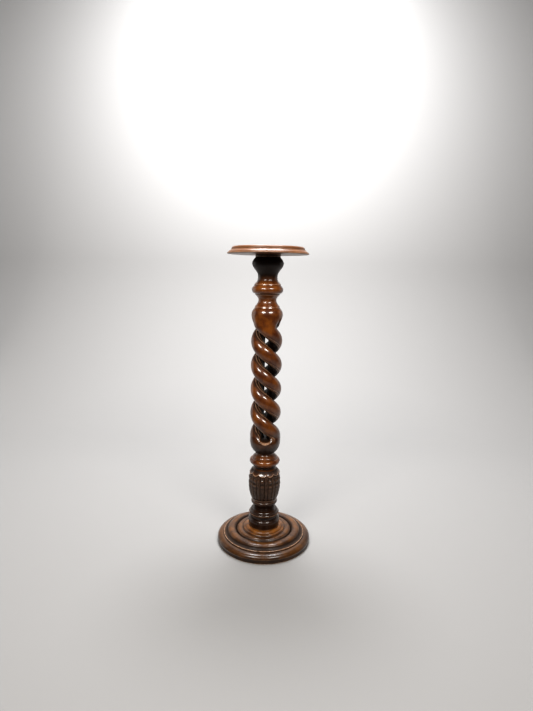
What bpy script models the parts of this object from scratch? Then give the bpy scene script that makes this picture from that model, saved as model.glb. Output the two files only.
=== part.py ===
"""A tall round-topped wooden pedestal: moulded top, open barley twist shaft, turned foot.

Metres, +Z up, front towards -Y. The origin is on the floor, at the middle of the foot.
Every turned member has its own height and radius, and the members stack from the floor up.
"""
from math import pi, radians

import bpy
import numpy as np

for old_object in list(bpy.data.objects):
    bpy.data.objects.remove(old_object)

# Play between pieces that touch
SEAT_GAP = 0.0003

# Foot, outer mouldings
PLINTH_RADIUS = 0.1575
PLINTH_HEIGHT = 0.0115
FOOT_ROLL_RADIUS = 0.1592
FOOT_ROLL_TURN = 0.0035
FOOT_ROLL_HEIGHT = 0.0170
FOOT_ROLL_INNER_RADIUS = 0.1395
FOOT_FILLET_RADIUS = 0.1378
FOOT_FILLET_HEIGHT = 0.0045
FOOT_FILLET_INNER_RADIUS = 0.1345
FOOT_COVE_RADIUS = 0.1245
FOOT_COVE_HEIGHT = 0.0050
FOOT_CREST_RADIUS = 0.1100
FOOT_CREST_HEIGHT = 0.0080

# Foot, dished middle
DISH_RADIUS = 0.0945
DISH_DEPTH = 0.0060
DISH_ROLL_OUTER_RADIUS = 0.0885
DISH_ROLL_SHOULDER = 0.0032
DISH_ROLL_RADIUS = 0.0795
DISH_ROLL_RISE = 0.0032
RING_GROOVE_RADIUS = 0.0728
RING_GROOVE_DEPTH = 0.0015
LOWER_RING_RADIUS = 0.0712
LOWER_RING_INNER_RADIUS = 0.0645
LOWER_RING_HEIGHT = 0.0048
UPPER_RING_RADIUS = 0.0635
UPPER_RING_INNER_RADIUS = 0.0540
UPPER_RING_HEIGHT = 0.0068

# Shaft, from the foot to the vase
DRUM_BOTTOM_RADIUS = 0.0515
DRUM_RADIUS = 0.0537
DRUM_SIDE_HEIGHT = 0.0187
DRUM_TOP_RADIUS = 0.0455
DRUM_ROUND_HEIGHT = 0.0120
DRUM_GROOVE_RADIUS = 0.0435
DRUM_GROOVE_HEIGHT = 0.0095
BELL_EDGE_RADIUS = 0.0490
BELL_EDGE_HEIGHT = 0.0020
BELL_RADIUS = 0.0515
BELL_LIP_HEIGHT = 0.0060
BELL_HOLLOW_RADIUS = 0.0470
BELL_HOLLOW_HEIGHT = 0.0055
BELL_SHOULDER_RADIUS = 0.0395
BELL_SHOULDER_HEIGHT = 0.0070
LOW_NECK_RADIUS = 0.0330
LOW_NECK_HEIGHT = 0.0025
LOW_CONE_RADIUS = 0.0415
LOW_CONE_HEIGHT = 0.0185
VASE_BEAD_RADIUS = 0.0447
VASE_BEAD_HEIGHT = 0.0110

# Carved vase
VASE_WAIST_RADIUS = 0.0418
VASE_BELLY_RADIUS = 0.0530
VASE_BELLY_HEIGHT = 0.0590
VASE_LIP_RADIUS = 0.0505
VASE_LIP_HEIGHT = 0.0355
VASE_SHOULDER_RADIUS = 0.0400
VASE_SHOULDER_HEIGHT = 0.0195
VASE_LEAVES = 12
LEAF_TURN = radians(-98.0)
RIB_DEPTH = 0.0022
RIB_START = 0.0120
RIB_TOP = 0.0820
RIB_FADE = 0.0100
LEAF_TIP_RISE = 0.0032
LEAF_TIP_HEIGHT = 0.0985
LEAF_TIP_LENGTH = 0.0100
SMALL_TIP_RISE = 0.0020
SMALL_TIP_HEIGHT = 0.0780
SMALL_TIP_LENGTH = 0.0100

# Ring between the vase and the twist
VASE_NECK_RADIUS = 0.0335
VASE_NECK_DROP = 0.0030
VASE_NECK_HEIGHT = 0.0045
TORUS_RADIUS = 0.0515
TORUS_LOWER_HEIGHT = 0.0190
TORUS_TOP_RADIUS = 0.0418
TORUS_UPPER_HEIGHT = 0.0100
TORUS_GROOVE_RADIUS = 0.0398
TORUS_GROOVE_HEIGHT = 0.0010
LIP_RADIUS = 0.0410
LIP_HEIGHT = 0.0030
RING_NECK_RADIUS = 0.0306
RING_FLARE_HEIGHT = 0.0130
RING_NECK_HEIGHT = 0.0020

# Open barley twist, two strands, rising to the left
TWIST_RADIUS = 0.0513
LOWER_BULB_RISE = 0.0505
UPPER_BULB_RISE = 0.0380
TWIST_LENGTH = 0.4253
STRAND_HALF_SPREAD = radians(67.0)
CORE_GAP = 0.0100
TWIST_PITCH = 0.1607
TWIST_HALF_TURNS = 4.572
TWIST_EASE = 0.0120
LOWER_STRAIGHT_RUN = 0.0200
UPPER_STRAIGHT_RUN = 0.0378
SLOT_CUT_LENGTH = 0.0140
LOWER_ROUNDING_LENGTH = 0.0300
UPPER_ROUNDING_LENGTH = 0.0480
SLOT_END_ARCH = 0.0100
EDGE_SHARPNESS = 6
UPPER_SLOT_DROP = 0.0010

# Capital
CAPITAL_SEAM_RADIUS = 0.0404
CAPITAL_SEAM_HEIGHT = 0.0040
CAPITAL_COVE_RADIUS = 0.0289
CAPITAL_COVE_LOWER_HEIGHT = 0.0205
CAPITAL_COVE_UPPER_HEIGHT = 0.0170
CAPITAL_FILLET_RADIUS = 0.0402
CAPITAL_FILLET_HEIGHT = 0.0030
CAPITAL_BEAD_RADIUS = 0.0509
CAPITAL_BEAD_LOWER_HEIGHT = 0.0135
CAPITAL_BEAD_UPPER_HEIGHT = 0.0138
CAPITAL_BAND_RADIUS = 0.0425
CAPITAL_BAND_HEIGHT = 0.0037
HIGH_NECK_RADIUS = 0.0316
HIGH_NECK_COVE_HEIGHT = 0.0165
HIGH_NECK_HEIGHT = 0.0095
CAPITAL_BALL_RADIUS = 0.0507
CAPITAL_BALL_LOWER_HEIGHT = 0.0385
CAPITAL_BALL_UPPER_HEIGHT = 0.0205
CAPITAL_TOP_NECK_RADIUS = 0.0388
CAPITAL_TOP_RADIUS = 0.0405
CAPITAL_TOP_HEIGHT = 0.0077

# Round top
TOP_UNDERSIDE_RADIUS = 0.1285
TOP_NOSE_RADIUS = 0.1310
TOP_NOSE_LOWER_HEIGHT = 0.0024
TOP_NOSE_UPPER_RADIUS = 0.1280
TOP_NOSE_UPPER_HEIGHT = 0.0028
TOP_OGEE_RADIUS = 0.1190
TOP_OGEE_HEIGHT = 0.0078
TOP_QUIRK_RADIUS = 0.1150
TOP_QUIRK_HEIGHT = 0.0012
TOP_ROUND_RADIUS = 0.1168
TOP_ROUND_HEIGHT = 0.00905
TOP_FACE_RADIUS = 0.1100

# Fineness of the facets
FOOT_SIDES = 28
TOP_SIDES = 32
STRAND_OUTER_STEPS = 12
STRAND_INNER_STEPS = 6
VASE_SIDES_PER_LEAF = 6
TWIST_STEP = radians(26.0)
SLOT_END_STEPS = 4


class Outline:
    """Half of a turned section, as points of radius and height, drawn from the bottom up."""

    def __init__(self, radius, height):
        self.points = [(radius, height)]

    @property
    def height(self):
        return self.points[-1][1]

    def line(self, radius, rise=0.0):
        self.points.append((radius, self.height + rise))

    def curve(self, radius, rise, steps, shape):
        """Adds an arc to a radius and a rise. Its shape says how it leaves and how it arrives."""
        start_radius, start_height = self.points[-1]
        t = np.arange(1, steps + 1) / steps
        across, up = {
            "upright to level": (1 - np.cos(t * pi / 2), np.sin(t * pi / 2)),
            "level to upright": (np.sin(t * pi / 2), 1 - np.cos(t * pi / 2)),
            "slanted to upright": (np.sin(t * pi / 2), t),
            "upright to slanted": (1 - np.cos(t * pi / 2), t),
            "ogee": ((1 - np.cos(t * pi)) / 2, t),
        }[shape]
        self.points += zip(start_radius + (radius - start_radius) * across, start_height + rise * up)


def bulb_height(radius, rise, end_radius):
    """How far an ellipse of this radius and rise goes before it narrows to the end radius."""
    return rise * np.sqrt(1 - (end_radius / radius) ** 2)


class Solid:
    """A mesh put together from rings of points, each ring anticlockwise when seen from above."""

    def __init__(self):
        self.points = []
        self.faces = []

    def ring(self, positions):
        first = len(self.points)
        self.points += [tuple(position) for position in positions]
        return list(range(first, len(self.points)))

    def circle(self, radius, height, sides, start):
        angles = start + 2 * pi * np.arange(sides) / sides
        heights = np.full(sides, height)
        return self.ring(np.column_stack([radius * np.cos(angles), radius * np.sin(angles), heights]))

    def join(self, lower, upper):
        """Closes the band between two rings, which may have different numbers of points."""
        low_count, high_count = len(lower), len(upper)
        low = high = 0
        while low < low_count or high < high_count:
            low_here, high_here = lower[low % low_count], upper[high % high_count]
            low_next, high_next = lower[(low + 1) % low_count], upper[(high + 1) % high_count]
            if low_count == high_count:
                self.faces.append((low_here, low_next, high_next, high_here))
                low += 1
                high += 1
            elif (low + 1) * high_count <= (high + 1) * low_count:
                self.faces.append((low_here, low_next, high_here))
                low += 1
            else:
                self.faces.append((low_here, high_next, high_here))
                high += 1

    def stack(self, rings):
        for lower, upper in zip(rings, rings[1:]):
            self.join(lower, upper)

    def cap(self, ring, height, facing_up):
        centre = self.ring([(0.0, 0.0, height)])[0]
        for here, following in zip(ring, ring[1:] + ring[:1]):
            self.faces.append((here, following, centre) if facing_up else (following, here, centre))

    def build(self, name, material):
        mesh = bpy.data.meshes.new(name)
        mesh.from_pydata(self.points, [], self.faces)
        mesh.materials.append(material)
        mesh.shade_smooth()
        mesh.set_sharp_from_angle(angle=radians(40))
        thing = bpy.data.objects.new(name, mesh)
        bpy.context.scene.collection.objects.link(thing)
        return thing


def wood(name, colour, roughness):
    material = bpy.data.materials.new(name)
    material.use_nodes = True
    shader = material.node_tree.nodes["Principled BSDF"]
    shader.inputs["Base Color"].default_value = (*colour, 1.0)
    shader.inputs["Roughness"].default_value = roughness
    shader.inputs["Metallic"].default_value = 0.0
    return material


def turned_piece(name, outline, sides, material):
    """Spins an outline that starts and ends on flat faces into one closed piece."""
    solid = Solid()
    rings = [solid.circle(radius, height, sides, 0.0) for radius, height in outline.points]
    solid.stack(rings)
    solid.cap(rings[0], outline.points[0][1], facing_up=False)
    solid.cap(rings[-1], outline.height, facing_up=True)
    return solid.build(name, material)


def foot_outline():
    """The foot: plinth, roll, fillet, cove and crest, then the dish and the rings inside it."""
    foot = Outline(PLINTH_RADIUS, 0.0)
    foot.line(PLINTH_RADIUS, PLINTH_HEIGHT)
    foot.line(FOOT_ROLL_RADIUS, FOOT_ROLL_TURN)
    foot.curve(FOOT_ROLL_INNER_RADIUS, FOOT_ROLL_HEIGHT - FOOT_ROLL_TURN, 3, "upright to level")
    foot.line(FOOT_FILLET_RADIUS)
    foot.line(FOOT_FILLET_RADIUS, FOOT_FILLET_HEIGHT)
    foot.line(FOOT_FILLET_INNER_RADIUS)
    foot.curve(FOOT_COVE_RADIUS, FOOT_COVE_HEIGHT, 2, "level to upright")
    foot.curve(FOOT_CREST_RADIUS, FOOT_CREST_HEIGHT, 3, "upright to level")
    foot.curve(DISH_RADIUS, -DISH_DEPTH, 2, "level to upright")
    foot.curve(DISH_ROLL_OUTER_RADIUS, DISH_ROLL_SHOULDER, 1, "upright to level")
    foot.curve(DISH_ROLL_RADIUS, DISH_ROLL_RISE, 2, "upright to level")
    foot.line(RING_GROOVE_RADIUS, -RING_GROOVE_DEPTH)
    foot.line(LOWER_RING_RADIUS)
    foot.curve(LOWER_RING_INNER_RADIUS, LOWER_RING_HEIGHT, 2, "upright to level")
    foot.line(UPPER_RING_RADIUS)
    foot.curve(UPPER_RING_INNER_RADIUS, UPPER_RING_HEIGHT, 3, "upright to level")
    return foot


def top_outline(underside):
    """The round top: flat underside, nose, ogee, quirk and rounded upper edge."""
    top = Outline(TOP_UNDERSIDE_RADIUS, underside)
    top.line(TOP_NOSE_RADIUS, TOP_NOSE_LOWER_HEIGHT)
    top.line(TOP_NOSE_UPPER_RADIUS, TOP_NOSE_UPPER_HEIGHT)
    top.curve(TOP_OGEE_RADIUS, TOP_OGEE_HEIGHT, 3, "ogee")
    top.line(TOP_QUIRK_RADIUS, TOP_QUIRK_HEIGHT)
    top.line(TOP_ROUND_RADIUS)
    top.curve(TOP_FACE_RADIUS, TOP_ROUND_HEIGHT, 3, "upright to level")
    return top


def shaft_foot_outline(bottom):
    """The drum, the bell, the low neck and the bead under the vase."""
    foot = Outline(DRUM_BOTTOM_RADIUS, bottom)
    foot.line(DRUM_RADIUS, DRUM_SIDE_HEIGHT)
    foot.curve(DRUM_TOP_RADIUS, DRUM_ROUND_HEIGHT, 3, "upright to level")
    foot.line(DRUM_GROOVE_RADIUS)
    foot.line(DRUM_GROOVE_RADIUS, DRUM_GROOVE_HEIGHT)
    foot.line(BELL_EDGE_RADIUS, BELL_EDGE_HEIGHT)
    foot.line(BELL_RADIUS, BELL_LIP_HEIGHT)
    foot.curve(BELL_HOLLOW_RADIUS, BELL_HOLLOW_HEIGHT, 2, "level to upright")
    foot.curve(BELL_SHOULDER_RADIUS, BELL_SHOULDER_HEIGHT, 2, "upright to level")
    foot.line(LOW_NECK_RADIUS)
    foot.line(LOW_NECK_RADIUS, LOW_NECK_HEIGHT)
    foot.curve(LOW_CONE_RADIUS, LOW_CONE_HEIGHT, 2, "upright to slanted")
    foot.curve(VASE_BEAD_RADIUS, VASE_BEAD_HEIGHT / 2, 2, "level to upright")
    foot.curve(VASE_WAIST_RADIUS, VASE_BEAD_HEIGHT / 2, 2, "upright to level")
    return foot


def vase_outline(bottom):
    """The vase before it is carved: waist, belly, lip and rounded shoulder."""
    vase = Outline(VASE_WAIST_RADIUS, bottom)
    vase.curve(VASE_BELLY_RADIUS, VASE_BELLY_HEIGHT, 4, "slanted to upright")
    vase.curve(VASE_LIP_RADIUS, VASE_LIP_HEIGHT, 4, "ogee")
    vase.curve(VASE_SHOULDER_RADIUS, VASE_SHOULDER_HEIGHT, 3, "upright to slanted")
    return vase


def ring_outline(bottom):
    """The vase's neck, the torus, and the lip and flare below the twist."""
    ring = Outline(VASE_SHOULDER_RADIUS, bottom)
    ring.line(VASE_NECK_RADIUS, VASE_NECK_DROP)
    ring.line(VASE_NECK_RADIUS, VASE_NECK_HEIGHT)
    ring.curve(TORUS_RADIUS, TORUS_LOWER_HEIGHT, 3, "slanted to upright")
    ring.curve(TORUS_TOP_RADIUS, TORUS_UPPER_HEIGHT, 3, "upright to level")
    ring.line(TORUS_GROOVE_RADIUS, TORUS_GROOVE_HEIGHT)
    ring.line(LIP_RADIUS)
    ring.line(LIP_RADIUS, LIP_HEIGHT)
    ring.curve(RING_NECK_RADIUS, RING_FLARE_HEIGHT, 3, "ogee")
    ring.line(RING_NECK_RADIUS, RING_NECK_HEIGHT)
    return ring


def capital_outline(bottom):
    """The capital: seam, cove, bead, neck, ball and top fillet."""
    capital = Outline(CAPITAL_SEAM_RADIUS, bottom)
    capital.line(CAPITAL_SEAM_RADIUS, CAPITAL_SEAM_HEIGHT)
    capital.curve(CAPITAL_COVE_RADIUS, CAPITAL_COVE_LOWER_HEIGHT, 2, "slanted to upright")
    capital.curve(CAPITAL_FILLET_RADIUS, CAPITAL_COVE_UPPER_HEIGHT, 2, "upright to slanted")
    capital.line(CAPITAL_FILLET_RADIUS, CAPITAL_FILLET_HEIGHT)
    capital.curve(CAPITAL_BEAD_RADIUS, CAPITAL_BEAD_LOWER_HEIGHT, 3, "level to upright")
    capital.curve(CAPITAL_BAND_RADIUS, CAPITAL_BEAD_UPPER_HEIGHT, 2, "upright to slanted")
    capital.line(CAPITAL_BAND_RADIUS, CAPITAL_BAND_HEIGHT)
    capital.curve(HIGH_NECK_RADIUS, HIGH_NECK_COVE_HEIGHT, 2, "slanted to upright")
    capital.line(HIGH_NECK_RADIUS, HIGH_NECK_HEIGHT)
    capital.curve(CAPITAL_BALL_RADIUS, CAPITAL_BALL_LOWER_HEIGHT, 3, "ogee")
    capital.curve(CAPITAL_TOP_NECK_RADIUS, CAPITAL_BALL_UPPER_HEIGHT, 3, "upright to slanted")
    capital.line(CAPITAL_TOP_RADIUS)
    capital.line(CAPITAL_TOP_RADIUS, CAPITAL_TOP_HEIGHT)
    return capital


def leaf_relief(angles, height):
    """How far the carved leaves stand out at this height above the vase's waist.

    Ribs run up the lower part, one for each leaf and one between. The large leaves curl out
    under the shoulder, and the small ones lower down between them.
    """
    leaf = VASE_LEAVES * (angles - LEAF_TURN)
    above_start = np.clip((height - RIB_START) / RIB_FADE, 0, 1)
    below_top = np.clip((RIB_TOP - height) / RIB_FADE, 0, 1)
    ribs = RIB_DEPTH * (np.cos(2 * leaf) - 1) / 2 * above_start * below_top
    big_rise = np.clip(1 - abs(height - LEAF_TIP_HEIGHT) / LEAF_TIP_LENGTH, 0, 1)
    small_rise = np.clip(1 - abs(height - SMALL_TIP_HEIGHT) / SMALL_TIP_LENGTH, 0, 1)
    big_tips = LEAF_TIP_RISE * big_rise * ((1 + np.cos(leaf)) / 2) ** 2
    small_tips = SMALL_TIP_RISE * small_rise * ((1 - np.cos(leaf)) / 2) ** 2
    return ribs + big_tips + small_tips


def vase_rings(solid, outline):
    sides = VASE_LEAVES * VASE_SIDES_PER_LEAF
    angles = LEAF_TURN + 2 * pi * np.arange(sides) / sides
    rings = []
    for radius, height in outline.points:
        carved = radius + leaf_relief(angles, height - outline.points[0][1])
        heights = np.full(sides, height)
        rings.append(solid.ring(np.column_stack([carved * np.cos(angles), carved * np.sin(angles), heights])))
    return rings


def slot_angle(height, lower_end, upper_end):
    """The way the slot faces. It turns evenly between its ends and eases in and out of the turn."""
    reach = upper_end - lower_end + TWIST_EASE
    rate = TWIST_HALF_TURNS * pi / (reach - TWIST_EASE)
    down = np.clip(upper_end + TWIST_EASE / 2 - height, 0, reach)
    up = reach - down
    eased = np.where(down < TWIST_EASE, down**2 / (2 * TWIST_EASE), down - TWIST_EASE / 2)
    eased = np.where(up < TWIST_EASE, reach - TWIST_EASE - up**2 / (2 * TWIST_EASE), eased)
    return -pi / 2 - rate * (upper_end - lower_end) + rate * eased


def strand_section(radius, cut, rounding):
    """One strand across the slot's own axes, from its first edge over the outside and back.

    With the cut and the rounding both at 1 it is the level cut through a round rope that winds
    around the core. With both at 0 it is half of the round shaft. Cut opens the slot between
    the two halves, and rounding then takes their edges down from the shaft's own surface.
    """
    outer = pi * (0.5 - np.arange(STRAND_OUTER_STEPS + 1) / STRAND_OUTER_STEPS)
    inner = -pi * (0.5 + np.arange(1, STRAND_INNER_STEPS) / STRAND_INNER_STEPS)
    middle = (radius + CORE_GAP / 2) / 2
    rope_radius = (radius - CORE_GAP / 2) / 2
    outer_distance = radius + (middle + rope_radius * np.cos(outer) - radius) * rounding
    inner_reach = abs(np.sin(inner))
    inner_distance = radius * inner_reach * (1 - cut) + (middle + rope_radius * np.cos(inner)) * cut
    edge_lift = (radius - middle) * (cut - rounding)
    inner_distance = inner_distance + edge_lift * inner_reach**EDGE_SHARPNESS
    outer_spread = outer * (1 - cut) + STRAND_HALF_SPREAD * np.sin(outer) * cut
    shut_side = pi / 2 * np.sign(np.sin(inner))
    inner_spread = shut_side * (1 - cut) + STRAND_HALF_SPREAD * np.sin(inner) * cut
    distance = np.concatenate([outer_distance, inner_distance])
    spread = np.concatenate([outer_spread, inner_spread])
    return distance * np.sin(spread), distance * np.cos(spread)


def slot_end(rounding_length):
    """Distances of the rows from a tip of the slot, and how far the slot is cut and rounded there."""
    phase = pi / 2 * np.arange(SLOT_END_STEPS + 1) / SLOT_END_STEPS
    distance = rounding_length * (1 - np.cos(phase))
    shut = np.clip(1 - distance / SLOT_CUT_LENGTH, 0, 1)
    return distance, np.sqrt(1 - shut**2), (1 - np.cos(pi * distance / rounding_length)) / 2


def twist_rows(lower_tip, upper_tip):
    """Heights of the rows, how far the slot is cut and rounded, and the arch of its closed ends."""
    lower_distance, lower_cut, lower_rounding = slot_end(LOWER_ROUNDING_LENGTH)
    upper_distance, upper_cut, upper_rounding = slot_end(UPPER_ROUNDING_LENGTH)
    start, end = lower_tip + lower_distance[-1], upper_tip - upper_distance[-1]
    steps = int(np.ceil(TWIST_HALF_TURNS * pi / TWIST_STEP))
    middle = np.linspace(start, end, steps + 1)[1:-1]
    whole = np.ones(len(middle))
    heights = np.concatenate([lower_tip + lower_distance, middle, upper_tip - upper_distance[::-1]])
    cuts = np.concatenate([lower_cut, whole, upper_cut[::-1]])
    roundings = np.concatenate([lower_rounding, whole, upper_rounding[::-1]])
    arches = SLOT_END_ARCH * (1 - cuts) ** 2 * np.where(heights < middle[0], 1, -1)
    return heights, cuts, roundings, arches


def twist_rings(solid, radius_at, tips, ends):
    """The two strands. Where the slot is shut they share their points and make a full circle."""
    levels = list(zip(*twist_rows(*tips)))
    last_row = len(levels) - 1
    rows = []
    for row, (height, cut, rounding, arch) in enumerate(levels):
        radius = radius_at(height)
        along, across = strand_section(radius, cut, rounding)
        facing = slot_angle(height, *ends)
        lift = arch * (1 - (along**2 + across**2) / radius**2)
        loops = []
        for flip in (0.0, pi):
            turn = facing + flip
            x = along * np.cos(turn) - across * np.sin(turn)
            y = along * np.sin(turn) + across * np.cos(turn)
            positions = np.column_stack([x, y, height + lift])
            if row in (0, last_row) and flip:
                rim = solid.ring(positions[1:STRAND_OUTER_STEPS])
                first = loops[0]
                web = first[STRAND_OUTER_STEPS + 1:][::-1]
                loops.append([first[STRAND_OUTER_STEPS], *rim, first[0], *web])
            else:
                loops.append(solid.ring(positions))
        rows.append(loops)
    for (first_low, second_low), (first_high, second_high) in zip(rows, rows[1:]):
        solid.join(first_low, first_high)
        solid.join(second_low, second_high)
    half = STRAND_OUTER_STEPS
    return [first[:half] + second[:half] for first, second in (rows[0], rows[-1])]


def build_shaft(bottom, material):
    """The whole shaft, one piece of wood from the drum to the capital. Returns its top height."""
    solid = Solid()
    sides = 2 * STRAND_OUTER_STEPS
    low = shaft_foot_outline(bottom)
    vase = vase_outline(low.height)
    ring = ring_outline(vase.height)
    lower_centre = ring.height + bulb_height(TWIST_RADIUS, LOWER_BULB_RISE, RING_NECK_RADIUS)
    upper_centre = lower_centre + TWIST_LENGTH
    seam = upper_centre + bulb_height(TWIST_RADIUS, UPPER_BULB_RISE, CAPITAL_SEAM_RADIUS)
    capital = capital_outline(seam)

    def radius_at(height):
        below = max(lower_centre - height, 0.0) / LOWER_BULB_RISE
        above = max(height - upper_centre, 0.0) / UPPER_BULB_RISE
        return TWIST_RADIUS * np.sqrt(1 - below**2 - above**2)

    upper_tip = upper_centre - UPPER_SLOT_DROP
    upper_end = upper_tip - UPPER_STRAIGHT_RUN
    lower_end = upper_end - TWIST_HALF_TURNS * TWIST_PITCH / 2
    lower_tip = lower_end - LOWER_STRAIGHT_RUN
    upper_facing = float(slot_angle(upper_tip, lower_end, upper_end))
    lower_facing = float(slot_angle(lower_tip, lower_end, upper_end))

    drum_rings = [solid.circle(radius, height, sides, lower_facing) for radius, height in low.points[:-1]]
    carved_rings = vase_rings(solid, vase)
    neck_rings = [solid.circle(radius, height, sides, lower_facing) for radius, height in ring.points[1:]]
    bulb_levels = np.linspace(ring.height, lower_tip, 4)[1:-1]
    bulb_rings = [solid.circle(radius_at(z), z, sides, lower_facing) for z in bulb_levels]
    lower_circle, upper_circle = twist_rings(
        solid, radius_at, (lower_tip, upper_tip), (lower_end, upper_end)
    )
    dome_levels = np.linspace(upper_tip, seam, 5)[1:-1]
    dome_rings = [solid.circle(radius_at(z), z, sides, upper_facing) for z in dome_levels]
    capital_rings = [solid.circle(radius, height, sides, upper_facing) for radius, height in capital.points]
    solid.stack([*drum_rings, *carved_rings, *neck_rings, *bulb_rings, lower_circle])
    solid.stack([upper_circle, *dome_rings, *capital_rings])
    solid.cap(drum_rings[0], bottom, facing_up=False)
    solid.cap(capital_rings[-1], capital.height, facing_up=True)
    solid.build("shaft", material)
    return capital.height


def build_pedestal():
    foot = foot_outline()
    turned_piece("base", foot, FOOT_SIDES, wood("base_wood", (0.115, 0.045, 0.018), 0.32))
    shaft_top = build_shaft(foot.height + SEAT_GAP, wood("shaft_wood", (0.100, 0.034, 0.012), 0.25))
    top = top_outline(shaft_top + SEAT_GAP)
    turned_piece("top_plate", top, TOP_SIDES, wood("top_wood", (0.190, 0.085, 0.040), 0.32))


build_pedestal()
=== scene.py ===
# %% [markdown]
# # A barley twist pedestal
#
# A tall wooden stand for a plant or a lamp. A round moulded top sits on a turned shaft, and the
# shaft stands on a wide turned foot. The middle of the shaft is an open barley twist: two round
# strands wind around each other with daylight between them. Below the twist is a vase carved with
# leaves. The wood is stained red-brown and polished, dark in its hollows and rubbed at its edges.
#
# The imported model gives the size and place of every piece. This lesson makes a finer surface for
# each piece, gives it its finish, and lights it.

from math import pi, radians

import bpy
import numpy as np
from mathutils import Matrix, Vector


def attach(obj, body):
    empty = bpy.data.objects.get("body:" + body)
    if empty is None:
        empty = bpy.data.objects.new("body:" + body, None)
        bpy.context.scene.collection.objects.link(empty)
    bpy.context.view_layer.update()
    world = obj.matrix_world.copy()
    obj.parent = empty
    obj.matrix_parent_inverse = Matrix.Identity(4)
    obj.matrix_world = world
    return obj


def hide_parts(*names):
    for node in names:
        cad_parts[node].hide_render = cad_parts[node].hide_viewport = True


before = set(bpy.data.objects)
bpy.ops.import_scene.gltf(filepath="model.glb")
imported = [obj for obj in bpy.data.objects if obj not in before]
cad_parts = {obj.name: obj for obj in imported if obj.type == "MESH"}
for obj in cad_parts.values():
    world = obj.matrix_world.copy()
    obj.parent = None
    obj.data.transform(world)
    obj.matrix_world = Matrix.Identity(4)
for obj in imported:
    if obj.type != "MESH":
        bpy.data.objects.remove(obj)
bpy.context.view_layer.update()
print("nodes:", sorted(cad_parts))

# %% [markdown]
# ## Where the camera stands
#
# The picture was taken from a little over the top's own height, about a metre and a half away,
# looking slightly down. A short lens makes the foot and the top look wider than the distance
# alone would. The camera could be found by trial, but the ellipses of the foot and the top give it
# outright: how flat each one looks says how far it lies below the lens.

# %% Place the camera
CAMERA_HEIGHT = 0.9143
CAMERA_DISTANCE = 1.5576
CAMERA_PITCH = radians(9.6)
CAMERA_ROLL = radians(0.95)
FOCAL_PIXELS = 480.0
PICTURE_HEIGHT = 711

camera_data = bpy.data.cameras.new("camera")
camera_data.sensor_width = 36.0
camera_data.lens = FOCAL_PIXELS * camera_data.sensor_width / PICTURE_HEIGHT
camera = bpy.data.objects.new("camera", camera_data)
camera.matrix_world = (
    Matrix.Translation((0.0, -CAMERA_DISTANCE, CAMERA_HEIGHT))
    @ Matrix.Rotation(pi / 2 - CAMERA_PITCH, 4, "X")
    @ Matrix.Rotation(CAMERA_ROLL, 4, "Z")
)
bpy.context.scene.collection.objects.link(camera)
bpy.context.scene.camera = camera
bpy.context.scene.view_settings.view_transform = "Standard"
bpy.context.scene.view_settings.look = "Medium High Contrast"
print("lens:", round(camera_data.lens, 2), "mm")

# %% [markdown]
# ## Turned outlines
#
# A turner works from an outline: half of the section, drawn from the floor up. Beads, coves and
# fillets are short arcs and lines of it, each with its own radius and height. The arcs could be
# spline curves, but a quarter wave gives the same soft shapes and needs no handles.

# %% Draw an outline
ARC_STEPS = 24


class Outline:
    """Half of a turned section, as points of radius and height, drawn from the bottom up."""

    def __init__(self, radius, height):
        self.points = [(radius, height)]

    @property
    def height(self):
        return self.points[-1][1]

    def line(self, radius, rise=0.0):
        self.points.append((radius, self.height + rise))

    def curve(self, radius, rise, shape):
        """Adds a quarter or half wave. With t from 0 to 1, a "level" end follows 1 - cos(t pi / 2)
        and an "upright" end sin(t pi / 2); an ogee follows (1 - cos(t pi)) / 2."""
        start_radius, start_height = self.points[-1]
        t = np.arange(1, ARC_STEPS + 1) / ARC_STEPS
        across, up = {
            "upright to level": (1 - np.cos(t * pi / 2), np.sin(t * pi / 2)),
            "level to upright": (np.sin(t * pi / 2), 1 - np.cos(t * pi / 2)),
            "slanted to upright": (np.sin(t * pi / 2), t),
            "upright to slanted": (1 - np.cos(t * pi / 2), t),
            "ogee": ((1 - np.cos(t * pi)) / 2, t),
        }[shape]
        self.points += zip(start_radius + (radius - start_radius) * across, start_height + rise * up)


print("an arc is drawn in", ARC_STEPS, "steps")

# %% [markdown]
# Fresh from the lathe the corners are crisp. Polish and dusting round them a little, and a rounded
# corner catches the light as a thin bright line. A Bevel modifier could round them, but it treats
# all corners alike. Averaging the outline over a short length is closer to wear, because it takes
# most from what stands out most.

# %% Round the corners, mark them and space the rows
SAMPLE_PITCH = 0.0002
ROW_SPREAD = 0.0040
EDGE_REACH = 0.0009
EDGE_FROM = 0.00008
EDGE_HEIGHT = 0.00018
HOLLOW_REACH = 0.0045
HOLLOW_DEPTH = 0.0022


def averaged(samples, reach):
    """Each sample becomes a mean of its neighbours, weighted by exp(-(distance / reach)^2 / 2).
    Beyond an end the outline is taken to go on as it came in, turned by half a turn."""
    steps = min(int(np.ceil(3 * reach / SAMPLE_PITCH)), len(samples) - 1)
    weights = np.exp(-((np.arange(-steps, steps + 1) * SAMPLE_PITCH / reach) ** 2) / 2)
    weights /= weights.sum()
    before = 2 * samples[0] - samples[steps:0:-1]
    after = 2 * samples[-1] - samples[-2:-steps - 2:-1]
    padded = np.vstack([before, samples, after])
    return np.column_stack([np.convolve(padded[:, k], weights, "valid") for k in (0, 1)])


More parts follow.
